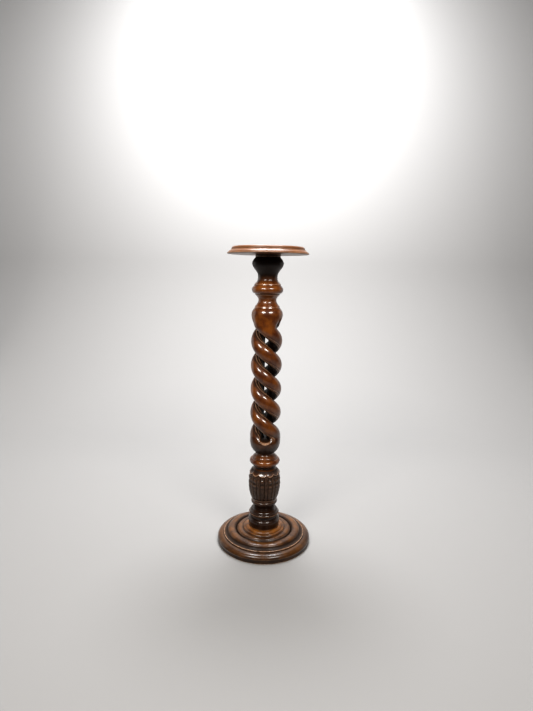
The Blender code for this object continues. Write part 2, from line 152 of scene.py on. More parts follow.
def worn(points, rounding, rows):
    """Rounds an outline, marks its edges and hollows, and picks its rows.

    The outline is sampled at an even pitch along its length and averaged over the rounding. What
    stands proud of its mean over a short reach is an edge, and what lies below its mean over a
    long reach is a hollow. Rows are spread so that length / spread + turning is the same between
    any two of them. The columns are radius, height, edge and hollow.
    """
    points = np.array(points, float)
    steps = np.linalg.norm(np.diff(points, axis=0), axis=1)
    points = points[np.concatenate([[True], steps > 1e-7])]
    length = np.concatenate([[0.0], np.cumsum(np.linalg.norm(np.diff(points, axis=0), axis=1))])
    sampled_at = np.linspace(0, length[-1], int(length[-1] / SAMPLE_PITCH) + 1)
    samples = np.column_stack([np.interp(sampled_at, length, points[:, k]) for k in (0, 1)])
    smooth = averaged(samples, rounding)
    along = np.gradient(smooth, axis=0)
    outwards = np.column_stack([along[:, 1], -along[:, 0]]) / np.linalg.norm(along, axis=1)[:, None]
    proud = ((smooth - averaged(smooth, EDGE_REACH)) * outwards).sum(1)
    deep = ((averaged(smooth, HOLLOW_REACH) - smooth) * outwards).sum(1)
    edge = np.clip((proud - EDGE_FROM) / EDGE_HEIGHT, 0, 1)
    hollow = np.clip(deep / HOLLOW_DEPTH, 0, 1)
    heading = np.unwrap(np.arctan2(np.diff(smooth[:, 1]), np.diff(smooth[:, 0])))
    turning = np.concatenate([[0.0], abs(np.diff(heading)), [0.0]])
    need = np.cumsum(turning + SAMPLE_PITCH / ROW_SPREAD)
    wanted = np.linspace(need[0], need[-1], rows)
    return np.column_stack([np.interp(wanted, need, column) for column in (*smooth.T, edge, hollow)])


print("outlines are sampled every", SAMPLE_PITCH * 1000, "mm")

# %% [markdown]
# ## Skins made of rings
#
# Every piece here is a skin of rings stacked along the shaft. A ring is a row of points at one
# height, and two rings with equal counts are joined by four-sided faces. The carved vase needs
# many more points around than a plain bead, so rings of different counts must meet as well. There
# the faces are triangles, and each triangle steps forward on whichever ring is further behind.

# %% Stack rings into a skin
MARKS = ("edge", "hollow")


class Skin:
    """A closed mesh built from rings of points, anticlockwise when seen from above."""

    def __init__(self):
        self.blocks, self.marks, self.faces, self.count = [], [], [], 0

    def rows(self, positions, edge=0.0, hollow=0.0):
        """Adds a grid of points (row, point around, xyz) with its marks, and returns their numbers."""
        rows, around = positions.shape[:2]
        self.blocks.append(positions.reshape(-1, 3))
        marks = [np.broadcast_to(mark, (rows, around)).ravel() for mark in (edge, hollow)]
        self.marks.append(np.column_stack(marks))
        numbers = self.count + np.arange(rows * around).reshape(rows, around)
        self.count += rows * around
        return numbers

    def turned(self, outline, sides, start=0.0):
        """Point (i, j) is at radius r_i and height z_i, turned by start + 2 pi j / sides."""
        angles = start + 2 * pi * np.arange(sides) / sides
        radius, height, edge, hollow = (outline[:, k:k + 1] for k in range(4))
        positions = [radius * np.cos(angles), radius * np.sin(angles), height + 0 * angles]
        return self.rows(np.stack(positions, axis=-1), edge, hollow)

    def weave(self, numbers):
        """Quads between each row and the next: (i, j), (i, j+1), (i+1, j+1), (i+1, j)."""
        low, high = numbers[:-1], numbers[1:]
        corners = [low, np.roll(low, -1, 1), np.roll(high, -1, 1), high]
        self.faces += np.stack(corners, axis=-1).reshape(-1, 4).tolist()

    def bridge(self, low, high):
        """Triangles between two rings of any counts.

        Step k of the lower ring ends at (k + 1) / its count, and so on for the upper ring. All
        the steps are taken in the order of where they end.
        """
        ends = np.concatenate([(np.arange(len(ring)) + 1) / len(ring) for ring in (low, high)])
        order = np.argsort(ends, kind="stable")
        on_low = order < len(low)
        i = np.cumsum(on_low) - on_low
        j = np.cumsum(~on_low) - ~on_low
        here, over = low[i % len(low)], high[j % len(high)]
        ahead = np.where(on_low, low[(i + 1) % len(low)], high[(j + 1) % len(high)])
        self.faces += np.column_stack([here, ahead, over]).tolist()

    def close(self, ring, height, facing_up):
        """A fan from a ring to a point on the axis."""
        pole = self.rows(np.array([[[0.0, 0.0, height]]]))[0, 0]
        following = np.roll(ring, -1)
        pair = (ring, following) if facing_up else (following, ring)
        self.faces += np.column_stack([*pair, np.full(len(ring), pole)]).tolist()

    def piece(self, name, node):
        """Makes the mesh, stores its marks, and has it stand for its node."""
        mesh = bpy.data.meshes.new(name)
        mesh.from_pydata(np.vstack(self.blocks).tolist(), [], self.faces)
        mesh.shade_smooth()
        for mark, values in zip(MARKS, np.vstack(self.marks).astype(np.float32).T):
            mesh.attributes.new(mark, "FLOAT", "POINT").data.foreach_set("value", values)
        thing = bpy.data.objects.new(name, mesh)
        bpy.context.scene.collection.objects.link(thing)
        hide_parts(node)
        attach(thing, "root")
        print(name, "has", sum(len(face) - 2 for face in self.faces), "triangles")
        return thing


print("marks kept at each point:", MARKS)

# %% [markdown]
# ## The foot
#
# The foot is a wide disc of wood, turned from the underside up: a plinth, a big roll, a fillet, a
# cove and a crest, then a shallow dish with two raised rings that carry the shaft. It could be
# spun with a Screw modifier, but rings worked out from the outline can be marked for wear at once.

# %% Outline of the foot
PLINTH_RADIUS = 0.1575
PLINTH_HEIGHT = 0.0115
FOOT_ROLL_RADIUS = 0.1592
FOOT_ROLL_TURN = 0.0035
FOOT_ROLL_HEIGHT = 0.0170
FOOT_ROLL_INNER_RADIUS = 0.1395
FOOT_FILLET_RADIUS = 0.1378
FOOT_FILLET_HEIGHT = 0.0045
FOOT_FILLET_INNER_RADIUS = 0.1345
FOOT_COVE_RADIUS = 0.1245
FOOT_COVE_HEIGHT = 0.0050
FOOT_CREST_RADIUS = 0.1100
FOOT_CREST_HEIGHT = 0.0080
DISH_RADIUS = 0.0945
DISH_DEPTH = 0.0095
DISH_ROLL_OUTER_RADIUS = 0.0885
DISH_ROLL_SHOULDER = 0.0067
DISH_ROLL_RADIUS = 0.0795
DISH_ROLL_RISE = 0.0032
RING_GROOVE_RADIUS = 0.0728
RING_GROOVE_DEPTH = 0.0015
LOWER_RING_RADIUS = 0.0712
LOWER_RING_INNER_RADIUS = 0.0645
LOWER_RING_HEIGHT = 0.0048
UPPER_RING_RADIUS = 0.0635
UPPER_RING_INNER_RADIUS = 0.0540
UPPER_RING_HEIGHT = 0.0068
POLE_RADIUS = 0.0040

foot = Outline(POLE_RADIUS, 0.0)
foot.line(PLINTH_RADIUS)
foot.line(PLINTH_RADIUS, PLINTH_HEIGHT)
foot.line(FOOT_ROLL_RADIUS, FOOT_ROLL_TURN)
foot.curve(FOOT_ROLL_INNER_RADIUS, FOOT_ROLL_HEIGHT - FOOT_ROLL_TURN, "upright to level")
foot.line(FOOT_FILLET_RADIUS)
foot.line(FOOT_FILLET_RADIUS, FOOT_FILLET_HEIGHT)
foot.line(FOOT_FILLET_INNER_RADIUS)
foot.curve(FOOT_COVE_RADIUS, FOOT_COVE_HEIGHT, "level to upright")
foot.curve(FOOT_CREST_RADIUS, FOOT_CREST_HEIGHT, "upright to level")
foot.curve(DISH_RADIUS, -DISH_DEPTH, "level to upright")
foot.curve(DISH_ROLL_OUTER_RADIUS, DISH_ROLL_SHOULDER, "upright to level")
foot.curve(DISH_ROLL_RADIUS, DISH_ROLL_RISE, "upright to level")
foot.line(RING_GROOVE_RADIUS, -RING_GROOVE_DEPTH)
foot.line(LOWER_RING_RADIUS)
foot.curve(LOWER_RING_INNER_RADIUS, LOWER_RING_HEIGHT, "upright to level")
foot.line(UPPER_RING_RADIUS)
foot.curve(UPPER_RING_INNER_RADIUS, UPPER_RING_HEIGHT, "upright to level")
foot.line(POLE_RADIUS)
print("the foot is", round(foot.height * 1000, 1), "mm high")

# %% Make the foot
BOARD_ROUNDING = 0.0004
WIDE_SIDES = 224
FOOT_ROWS = 170
FOOT_GRIME_AND_SHADE = 1.3
# Two channels beside the crest, as (radius, width), get grime and painted shade.
GRIME_AND_SHADE_CHANNELS = [(0.0960, 0.0060), (0.1290, 0.0050)]
CHANNEL_FROM = 0.030


def hump(values, centre, width):
    """A bell: exp(-((value - centre) / width)^2)."""
    return np.exp(-(((values - centre) / width) ** 2))


def turned_board(name, node, outline, rows, grime_and_shade):
    """A skin of circles along a worn outline, closed by a fan at each end."""
    rounded = worn(outline.points, BOARD_ROUNDING, rows)
    # The hollows and the channels get grime and painted shade.
    channel_bells = sum(hump(rounded[:, 0], radius, width) for radius, width in GRIME_AND_SHADE_CHANNELS)
    channel_grime_and_shade = grime_and_shade * channel_bells * (rounded[:, 1] > CHANNEL_FROM)
    rounded[:, 3] = np.clip(grime_and_shade * rounded[:, 3] + channel_grime_and_shade, 0, 1)
    skin = Skin()
    numbers = skin.turned(rounded, WIDE_SIDES)
    skin.weave(numbers)
    skin.close(numbers[0], rounded[0, 1], facing_up=False)
    skin.close(numbers[-1], rounded[-1, 1], facing_up=True)
    return skin.piece(name, node)


foot_piece = turned_board("foot", "base", foot, FOOT_ROWS, FOOT_GRIME_AND_SHADE)

# %% [markdown]
# ## The turned parts of the shaft
#
# The shaft is one long piece of wood. From the foot up it has a drum, a bell, a narrow neck and a
# bead, then the carved vase, a heavy ring, the open twist and the capital. The plain parts come
# first, as outlines stacked on each other.

# %% Outlines below the twist
SEAT_GAP = 0.0003
DRUM_BOTTOM_RADIUS = 0.0515
DRUM_RADIUS = 0.0537
DRUM_SIDE_HEIGHT = 0.0187
DRUM_TOP_RADIUS = 0.0455
DRUM_ROUND_HEIGHT = 0.0120
DRUM_GROOVE_RADIUS = 0.0435
DRUM_GROOVE_HEIGHT = 0.0095
BELL_EDGE_RADIUS = 0.0490
BELL_EDGE_HEIGHT = 0.0020
BELL_RADIUS = 0.0515
BELL_LIP_HEIGHT = 0.0060
BELL_HOLLOW_RADIUS = 0.0470
BELL_HOLLOW_HEIGHT = 0.0055
BELL_SHOULDER_RADIUS = 0.0395
BELL_SHOULDER_HEIGHT = 0.0070
LOW_NECK_RADIUS = 0.0330
LOW_NECK_HEIGHT = 0.0025
LOW_CONE_RADIUS = 0.0415
LOW_CONE_HEIGHT = 0.0185
VASE_BEAD_RADIUS = 0.0447
VASE_BEAD_HEIGHT = 0.0110
VASE_WAIST_RADIUS = 0.0418

drum = Outline(POLE_RADIUS, foot.height + SEAT_GAP)
drum.line(DRUM_BOTTOM_RADIUS)
drum.line(DRUM_RADIUS, DRUM_SIDE_HEIGHT)
drum.curve(DRUM_TOP_RADIUS, DRUM_ROUND_HEIGHT, "upright to level")
drum.line(DRUM_GROOVE_RADIUS)
drum.line(DRUM_GROOVE_RADIUS, DRUM_GROOVE_HEIGHT)
drum.line(BELL_EDGE_RADIUS, BELL_EDGE_HEIGHT)
drum.line(BELL_RADIUS, BELL_LIP_HEIGHT)
drum.curve(BELL_HOLLOW_RADIUS, BELL_HOLLOW_HEIGHT, "level to upright")
drum.curve(BELL_SHOULDER_RADIUS, BELL_SHOULDER_HEIGHT, "upright to level")
drum.line(LOW_NECK_RADIUS)
drum.line(LOW_NECK_RADIUS, LOW_NECK_HEIGHT)
drum.curve(LOW_CONE_RADIUS, LOW_CONE_HEIGHT, "upright to slanted")
drum.curve(VASE_BEAD_RADIUS, VASE_BEAD_HEIGHT / 2, "level to upright")
drum.curve(VASE_WAIST_RADIUS, VASE_BEAD_HEIGHT / 2, "upright to level")
print("the vase starts at", round(drum.height, 4), "m")

# %% Outline of the vase before it is carved
VASE_BELLY_RADIUS = 0.0530
VASE_BELLY_HEIGHT = 0.0590
VASE_LIP_RADIUS = 0.0505
VASE_LIP_HEIGHT = 0.0355
VASE_SHOULDER_RADIUS = 0.0400
VASE_SHOULDER_HEIGHT = 0.0195

vase = Outline(VASE_WAIST_RADIUS, drum.height)
vase.curve(VASE_BELLY_RADIUS, VASE_BELLY_HEIGHT, "slanted to upright")
vase.curve(VASE_LIP_RADIUS, VASE_LIP_HEIGHT, "ogee")
vase.curve(VASE_SHOULDER_RADIUS, VASE_SHOULDER_HEIGHT, "upright to slanted")
print("the vase ends at", round(vase.height, 4), "m")

# %% Outline of the ring over the vase
VASE_NECK_RADIUS = 0.0335
VASE_NECK_DROP = 0.0030
VASE_NECK_HEIGHT = 0.0045
TORUS_RADIUS = 0.0515
TORUS_LOWER_HEIGHT = 0.0190
TORUS_TOP_RADIUS = 0.0418
TORUS_UPPER_HEIGHT = 0.0100
TORUS_GROOVE_RADIUS = 0.0398
TORUS_GROOVE_HEIGHT = 0.0010
LIP_RADIUS = 0.0410
LIP_HEIGHT = 0.0030
RING_NECK_RADIUS = 0.0306
RING_FLARE_HEIGHT = 0.0130
RING_NECK_HEIGHT = 0.0020

ring = Outline(VASE_SHOULDER_RADIUS, vase.height)
ring.line(VASE_NECK_RADIUS, VASE_NECK_DROP)
ring.line(VASE_NECK_RADIUS, VASE_NECK_HEIGHT)
ring.curve(TORUS_RADIUS, TORUS_LOWER_HEIGHT, "slanted to upright")
ring.curve(TORUS_TOP_RADIUS, TORUS_UPPER_HEIGHT, "upright to level")
ring.line(TORUS_GROOVE_RADIUS, TORUS_GROOVE_HEIGHT)
ring.line(LIP_RADIUS)
ring.line(LIP_RADIUS, LIP_HEIGHT)
ring.curve(RING_NECK_RADIUS, RING_FLARE_HEIGHT, "ogee")
ring.line(RING_NECK_RADIUS, RING_NECK_HEIGHT)
print("the ring ends at", round(ring.height, 4), "m")

# %% [markdown]
# Over and under the twist the shaft swells into a bulb, like half an egg. Its radius at a height
# is that of an ellipse, r = R sqrt(1 - (distance from the centre / rise)^2).

# %% Bulbs at the twist's ends
TWIST_RADIUS = 0.0513
LOWER_BULB_RISE = 0.0505
UPPER_BULB_RISE = 0.0380
TWIST_LENGTH = 0.4253
CAPITAL_SEAM_RADIUS = 0.0404


def bulb_height(rise, end_radius):
    """How far the ellipse goes before it narrows to the end radius: rise sqrt(1 - (r / R)^2)."""
    return rise * np.sqrt(1 - (end_radius / TWIST_RADIUS) ** 2)


lower_centre = ring.height + bulb_height(LOWER_BULB_RISE, RING_NECK_RADIUS)
upper_centre = lower_centre + TWIST_LENGTH
capital_bottom = upper_centre + bulb_height(UPPER_BULB_RISE, CAPITAL_SEAM_RADIUS)


def shaft_radius(height):
    """The twist's own radius, narrowed by either ellipse beyond its centre."""
    below = np.maximum(lower_centre - height, 0) / LOWER_BULB_RISE
    above = np.maximum(height - upper_centre, 0) / UPPER_BULB_RISE
    return TWIST_RADIUS * np.sqrt(1 - below**2 - above**2)


print("the twist runs from", round(lower_centre, 4), "to", round(upper_centre, 4), "m")

# %% Outline of the capital
CAPITAL_SEAM_HEIGHT = 0.0040
CAPITAL_COVE_RADIUS = 0.0289
CAPITAL_COVE_LOWER_HEIGHT = 0.0205
CAPITAL_COVE_UPPER_HEIGHT = 0.0170
CAPITAL_FILLET_RADIUS = 0.0402
CAPITAL_FILLET_HEIGHT = 0.0030
CAPITAL_BEAD_RADIUS = 0.0509
CAPITAL_BEAD_LOWER_HEIGHT = 0.0135
CAPITAL_BEAD_UPPER_HEIGHT = 0.0138
CAPITAL_BAND_RADIUS = 0.0425
CAPITAL_BAND_HEIGHT = 0.0037
HIGH_NECK_RADIUS = 0.0316
HIGH_NECK_COVE_HEIGHT = 0.0165
HIGH_NECK_HEIGHT = 0.0095
CAPITAL_BALL_RADIUS = 0.0507
CAPITAL_BALL_LOWER_HEIGHT = 0.0385
CAPITAL_BALL_UPPER_HEIGHT = 0.0205
CAPITAL_TOP_NECK_RADIUS = 0.0388
CAPITAL_TOP_RADIUS = 0.0405
CAPITAL_TOP_HEIGHT = 0.0077

capital = Outline(CAPITAL_SEAM_RADIUS, capital_bottom)
capital.line(CAPITAL_SEAM_RADIUS, CAPITAL_SEAM_HEIGHT)
capital.curve(CAPITAL_COVE_RADIUS, CAPITAL_COVE_LOWER_HEIGHT, "slanted to upright")
capital.curve(CAPITAL_FILLET_RADIUS, CAPITAL_COVE_UPPER_HEIGHT, "upright to slanted")
capital.line(CAPITAL_FILLET_RADIUS, CAPITAL_FILLET_HEIGHT)
capital.curve(CAPITAL_BEAD_RADIUS, CAPITAL_BEAD_LOWER_HEIGHT, "level to upright")
capital.curve(CAPITAL_BAND_RADIUS, CAPITAL_BEAD_UPPER_HEIGHT, "upright to slanted")
capital.line(CAPITAL_BAND_RADIUS, CAPITAL_BAND_HEIGHT)
capital.curve(HIGH_NECK_RADIUS, HIGH_NECK_COVE_HEIGHT, "slanted to upright")
capital.line(HIGH_NECK_RADIUS, HIGH_NECK_HEIGHT)
capital.curve(CAPITAL_BALL_RADIUS, CAPITAL_BALL_LOWER_HEIGHT, "ogee")
capital.curve(CAPITAL_TOP_NECK_RADIUS, CAPITAL_BALL_UPPER_HEIGHT, "upright to slanted")
capital.line(CAPITAL_TOP_RADIUS)
capital.line(CAPITAL_TOP_RADIUS, CAPITAL_TOP_HEIGHT)
capital.line(POLE_RADIUS)
print("the shaft ends at", round(capital.height, 4), "m")

# %% [markdown]
# ## The carved vase
#
# The vase is carved with tall leaves, side by side. Each one is a strap with rounded sides and a
# vein down its middle, and a narrower strap shows between each two. At the top the leaves lap over
# into a rim of scallops, with deep shade under it, and below the rim each leaf swells twice more.
# The leaves could be separate sheets, but on the real shaft they are cut from the solid. So the
# vase is one surface of two parameters, the angle and a length up the leaf, and the relief moves
# it out, in, up or down. Moving it down as well as out makes the rim hang over.

# %% Shapes that carve
VASE_LEAVES = 12
LEAF_TURN = radians(-98.0)


def step(values, start, end):
    """A soft step from 0 to 1: t t (3 - 2 t), with t from start to end."""
    t = np.clip((values - start) / (end - start), 0, 1)
    return t * t * (3 - 2 * t)


leaf_width = 2 * pi * VASE_BELLY_RADIUS / VASE_LEAVES
print("each leaf is", round(leaf_width * 1000, 1), "mm wide at the belly")

# %% Leaf straps
STRAP_BOTTOM = 0.0125
STRAP_TOP = 0.0960
STRAP_FADE = 0.0060
STRAP_CROWN = 0.0009
GROOVE_AT = 0.27
GROOVE_WIDTH = 0.050
GROOVE_DEPTH = 0.0026
VEIN_AT = 0.20
VEIN_WIDTH = 0.11
VEIN_DEPTH = 0.0007
VEIN_START = (0.016, 0.026)
MIDRIB_WIDTH = 0.10
MIDRIB_SHARE = 0.6
TIP_ROUNDNESS = 0.0055
TIP_SOFTNESS = 0.0007
GROUND_DEPTH = 0.0016
GROUND_START = (0.0075, 0.0095)


def straps(leaf, up):
    """Relief of the straps, at a place across the leaf from -0.5 to 0.5 and a length up the vase.

    Grooves on either side part the broad straps from the narrow ones. Each strap is crowned as
    1 - across^2, with a fine vein cut on either side of its middle, and ends in a round tip.
    """
    groove = hump(abs(leaf), GROOVE_AT, GROOVE_WIDTH)
    broad = abs(leaf) < GROOVE_AT
    across = np.where(broad, leaf / GROOVE_AT, (0.5 - abs(leaf)) / (0.5 - GROOVE_AT))
    veins = hump(abs(across), VEIN_AT, VEIN_WIDTH) - MIDRIB_SHARE * hump(across, 0.0, MIDRIB_WIDTH)
    tip = STRAP_BOTTOM + TIP_ROUNDNESS * across**2
    inside = step(up, tip - TIP_SOFTNESS, tip + TIP_SOFTNESS)
    fading = step(STRAP_TOP + STRAP_FADE - up, 0.0, 2 * STRAP_FADE)
    relief = STRAP_CROWN * (1 - across**2) - GROOVE_DEPTH * groove
    relief = relief - VEIN_DEPTH * veins * step(up, *VEIN_START)
    return relief * inside * fading - GROUND_DEPTH * (1 - inside) * step(up, *GROUND_START)


halfway = straps(np.linspace(-0.5, 0.5, 201), (STRAP_BOTTOM + STRAP_TOP) / 2)
print("the straps' relief is", round(float(np.ptp(halfway)) * 1000, 2), "mm deep")

# %% Scalloped rim
RIM_HEIGHT = 0.1020
RIM_SCALLOP = 0.0036
TONGUE_FULLNESS = 0.75
RIM_SOFTNESS = 0.0003
RIM_PROUD, RIM_PROUD_FADE = 0.0026, 0.0060
RIM_CUT, RIM_CUT_FADE = 0.0034, 0.0045
RIM_DRAW, RIM_DRAW_FADE = 0.0009, 0.0020
RIM_HANG, RIM_HANG_FADE = 0.0014, 0.0025


def scallop(leaf):
    """How far the rim is raised: 1 - 2 |cos|^fullness, round tongues with a notch between them."""
    tongue = abs(np.cos(pi * leaf)) ** TONGUE_FULLNESS
    return RIM_SCALLOP * (1 - 2 * tongue)


def rim(up):
    """Above the rim the surface stands proud and hangs down, below it the surface is cut back and
    drawn up. Each fades with the distance from the rim as exp(-distance / fade)."""
    above = np.maximum(up - RIM_HEIGHT, 0)
    below = np.maximum(RIM_HEIGHT - up, 0)
    on_top = step(up, RIM_HEIGHT - RIM_SOFTNESS, RIM_HEIGHT + RIM_SOFTNESS)
    proud = RIM_PROUD * np.exp(-above / RIM_PROUD_FADE)
    cut = RIM_CUT * np.exp(-below / RIM_CUT_FADE)
    drawn = RIM_DRAW * np.exp(-below / RIM_DRAW_FADE)
    hung = RIM_HANG * np.exp(-above / RIM_HANG_FADE)
    return proud * on_top - cut * (1 - on_top), drawn * (1 - on_top) - hung * on_top


print("the rim stands", round((RIM_PROUD + RIM_CUT) * 1000, 1), "mm over the leaves below it")

# %% Knuckles below the rim
KNUCKLES = [(0.0795, 0.0048, 0.0022), (0.0625, 0.0034, 0.0012)]
KNUCKLE_SAG = 0.010
BROAD_KNUCKLE_WIDTH = 0.20
NARROW_KNUCKLE_WIDTH = 0.12
NARROW_KNUCKLE_SHARE = 0.55
DIPS = [(1.9, 1.0), (-1.7, 0.6)]
DIP_LENGTH = 0.7
DIP_SHARE = 0.75


def knuckles(leaf, up):
    """A bell of each knuckle's height, length and rise, less a narrower bell above and below it.
    It is widest in the middle of a broad strap and weaker on a narrow one."""
    across = hump(leaf, 0.0, BROAD_KNUCKLE_WIDTH)
    across = across + NARROW_KNUCKLE_SHARE * hump(abs(leaf), 0.5, NARROW_KNUCKLE_WIDTH)
    relief = 0.0
    for height, length, rise in KNUCKLES:
        swell = hump(up, height + KNUCKLE_SAG * leaf**2, length)
        dip = sum(share * hump(up, height + away * length, DIP_LENGTH * length) for away, share in DIPS)
        relief = relief + rise * across * (swell - DIP_SHARE * dip)
    return relief


print("each leaf swells", len(KNUCKLES), "times below the rim")

# %% Rows of the vase
VASE_SAMPLES = 2001
VASE_ROWS = 98
CLOSER_ROWS = [(RIM_HEIGHT, 0.0022, 7.0), (STRAP_BOTTOM, 0.0040, 2.0), (0.0850, 0.0200, 0.8)]


def row_lengths():
    """Lengths up the vase, spaced as 1 / (1 + bells), so that rows are close where carving is."""
    fine = np.linspace(0, vase.height - drum.height, VASE_SAMPLES)
    need = np.cumsum(1 + sum(gain * hump(fine, centre, width) for centre, width, gain in CLOSER_ROWS))
    return np.interp(np.linspace(need[0], need[-1], VASE_ROWS + 2)[1:-1], need, fine)


def nearby_mean(values, rows, sides):
    """Bell-weighted mean over a few rows and points around, which wraps around the vase."""
    weights = np.exp(-((np.arange(-3 * rows, 3 * rows + 1) / rows) ** 2) / 2)
    padded = np.pad(values, ((3 * rows, 3 * rows), (0, 0)), "edge")
    mixed = sum(w * padded[k:k + len(values)] for k, w in enumerate(weights / weights.sum()))
    weights = np.exp(-((np.arange(-3 * sides, 3 * sides + 1) / sides) ** 2) / 2)
    return sum(w * np.roll(mixed, k - 3 * sides, axis=1) for k, w in enumerate(weights / weights.sum()))


closest = float(np.diff(row_lengths()).min())
print("the vase has", VASE_ROWS, "rows, at least", round(closest * 1000, 2), "mm apart")

# %% Relief of the whole vase
VASE_END_FADE = (0.002, 0.006)
RIM_BAND = 0.0120


def vase_relief(leaf, up):
    """How far each point moves outwards and upwards. Both fade to nothing at the vase's ends."""
    outwards, upwards = rim(up)
    relief = straps(leaf, up) + knuckles(leaf, up) + outwards
    lift = upwards + scallop(leaf) * hump(up, RIM_HEIGHT, RIM_BAND)
    below, above = VASE_END_FADE
    ends = step(up, 0.0, below) * step(vase.height - drum.height - up, 0.0, above)
    return relief, lift, ends


print("the leaves rise to", round(drum.height + RIM_HEIGHT, 4), "m")

# %% [markdown]
# The vase's own marks are worked out in the same way as an outline's, from how far the relief lies
# over or under its mean nearby. On top of that, the vase is darker below its rim and darker still on
# the leaves, and the waist under the ring gets dust and painted shade.

# %% Marks of the vase
LEAF_EDGE_HEIGHT = 0.0008
LEAF_HOLLOW_DEPTH = 0.0014
LEAF_WEAR = 0.45
LEAVES_BOTTOM = (0.009, STRAP_BOTTOM)
LEAVES_TOP = (-0.001, 0.004)
# A band along the rim's top edge gets the rubbed colour: wear, and a painted highlight along the lit edge.
RIM_RUB_AND_HIGHLIGHT, RIM_RUB_AND_HIGHLIGHT_WIDTH = RIM_HEIGHT + 0.0009, 0.0010
RIM_TOP = (RIM_HEIGHT - 0.001, RIM_HEIGHT + 0.001)
WAIST = (RIM_HEIGHT + 0.004, RIM_HEIGHT + 0.010)
DRUM_DARKENING = 0.30
LEAF_DARKENING = 0.80
WAIST_DUST_AND_SHADE = 0.85


def vase_marks(relief, up):
    """Edge and hollow at each point, both from 0 to 1."""
    leaves = step(up, *LEAVES_BOTTOM) * step(RIM_HEIGHT - up, *LEAVES_TOP)
    edge = np.clip((relief - nearby_mean(relief, 1, 1)) / LEAF_EDGE_HEIGHT, 0, 1)
    edge = np.maximum(edge * (1 - (1 - LEAF_WEAR) * leaves), hump(up, RIM_RUB_AND_HIGHLIGHT, RIM_RUB_AND_HIGHLIGHT_WIDTH))
    # Darker below the rim and more on the leaves; the waist under the ring gets dust and painted shade.
    darkening = DRUM_DARKENING * (1 - step(up, *RIM_TOP)) + (LEAF_DARKENING - DRUM_DARKENING) * leaves
    darkening = darkening + WAIST_DUST_AND_SHADE * step(up, *WAIST)
    return edge, np.clip((nearby_mean(relief, 4, 6) - relief) / LEAF_HOLLOW_DEPTH + darkening, 0, 1)


print("dust on the drum, the leaves and the waist:", DRUM_DARKENING, LEAF_DARKENING, WAIST_DUST_AND_SHADE)

# %% Carve the vase
VASE_SIDES = 336


def carved_vase(skin, start):
    """The plain vase's radius and height at each length up, moved by the relief."""
    angles = start + 2 * pi * np.arange(VASE_SIDES) / VASE_SIDES
    leaf = (VASE_LEAVES * (angles - LEAF_TURN) / (2 * pi) + 0.5) % 1 - 0.5
    up = row_lengths()[:, None]
    relief, lift, ends = vase_relief(leaf, up)
    edge, hollow = vase_marks(relief, up)
    plain = np.array(vase.points)
    height = drum.height + up + lift * ends
    radius = np.interp(height, plain[:, 1], plain[:, 0]) + relief * ends
    positions = [radius * np.cos(angles), radius * np.sin(angles), height + 0 * angles]
    return skin.rows(np.stack(positions, axis=-1), edge, hollow)


print("a row of the vase has", VASE_SIDES // VASE_LEAVES, "points to a leaf")

# %% [markdown]
# ## The open twist
#
# The twist starts as a plain round shaft. A slot is cut right through the middle of it, and the
# slot turns as it rises, so two strands are left that wind around each other. A twist could be
# made by bending a rope along a helix, but then the strands would not run into the solid shaft at
# the ends. Here the shaft is taken as level cuts. At each height the slot faces its own way and is
# open by its own amount, from shut at its two ends to fully open between them.

# %% Way the slot faces
TWIST_PITCH = 0.1607
TWIST_HALF_TURNS = 4.572
TWIST_EASE = 0.0120
LOWER_STRAIGHT_RUN = 0.0200
UPPER_STRAIGHT_RUN = 0.0378
UPPER_SLOT_DROP = 0.0010

upper_tip = upper_centre - UPPER_SLOT_DROP
upper_end = upper_tip - UPPER_STRAIGHT_RUN
lower_end = upper_end - TWIST_HALF_TURNS * TWIST_PITCH / 2
lower_tip = lower_end - LOWER_STRAIGHT_RUN


def slot_angle(height):
    """Even turning between the two ends, joined to the straight runs by a short parabola."""
    reach = upper_end - lower_end + TWIST_EASE
    rate = TWIST_HALF_TURNS * pi / (reach - TWIST_EASE)
    down = np.clip(upper_end + TWIST_EASE / 2 - height, 0, reach)
    up = reach - down
    eased = np.where(down < TWIST_EASE, down**2 / (2 * TWIST_EASE), down - TWIST_EASE / 2)
    eased = np.where(up < TWIST_EASE, reach - TWIST_EASE - up**2 / (2 * TWIST_EASE), eased)
    return -pi / 2 - rate * (upper_end - lower_end) + rate * eased


print("the slot turns by", round(float(np.degrees(slot_angle(upper_tip) - slot_angle(lower_tip)))), "degrees")

# %% Level cut through one strand
STRAND_HALF_SPREAD = radians(67.0)
CORE_GAP = 0.0100
STRAND_OUTER_STEPS = 56
STRAND_INNER_STEPS = 36
EDGE_SHARPNESS = 6


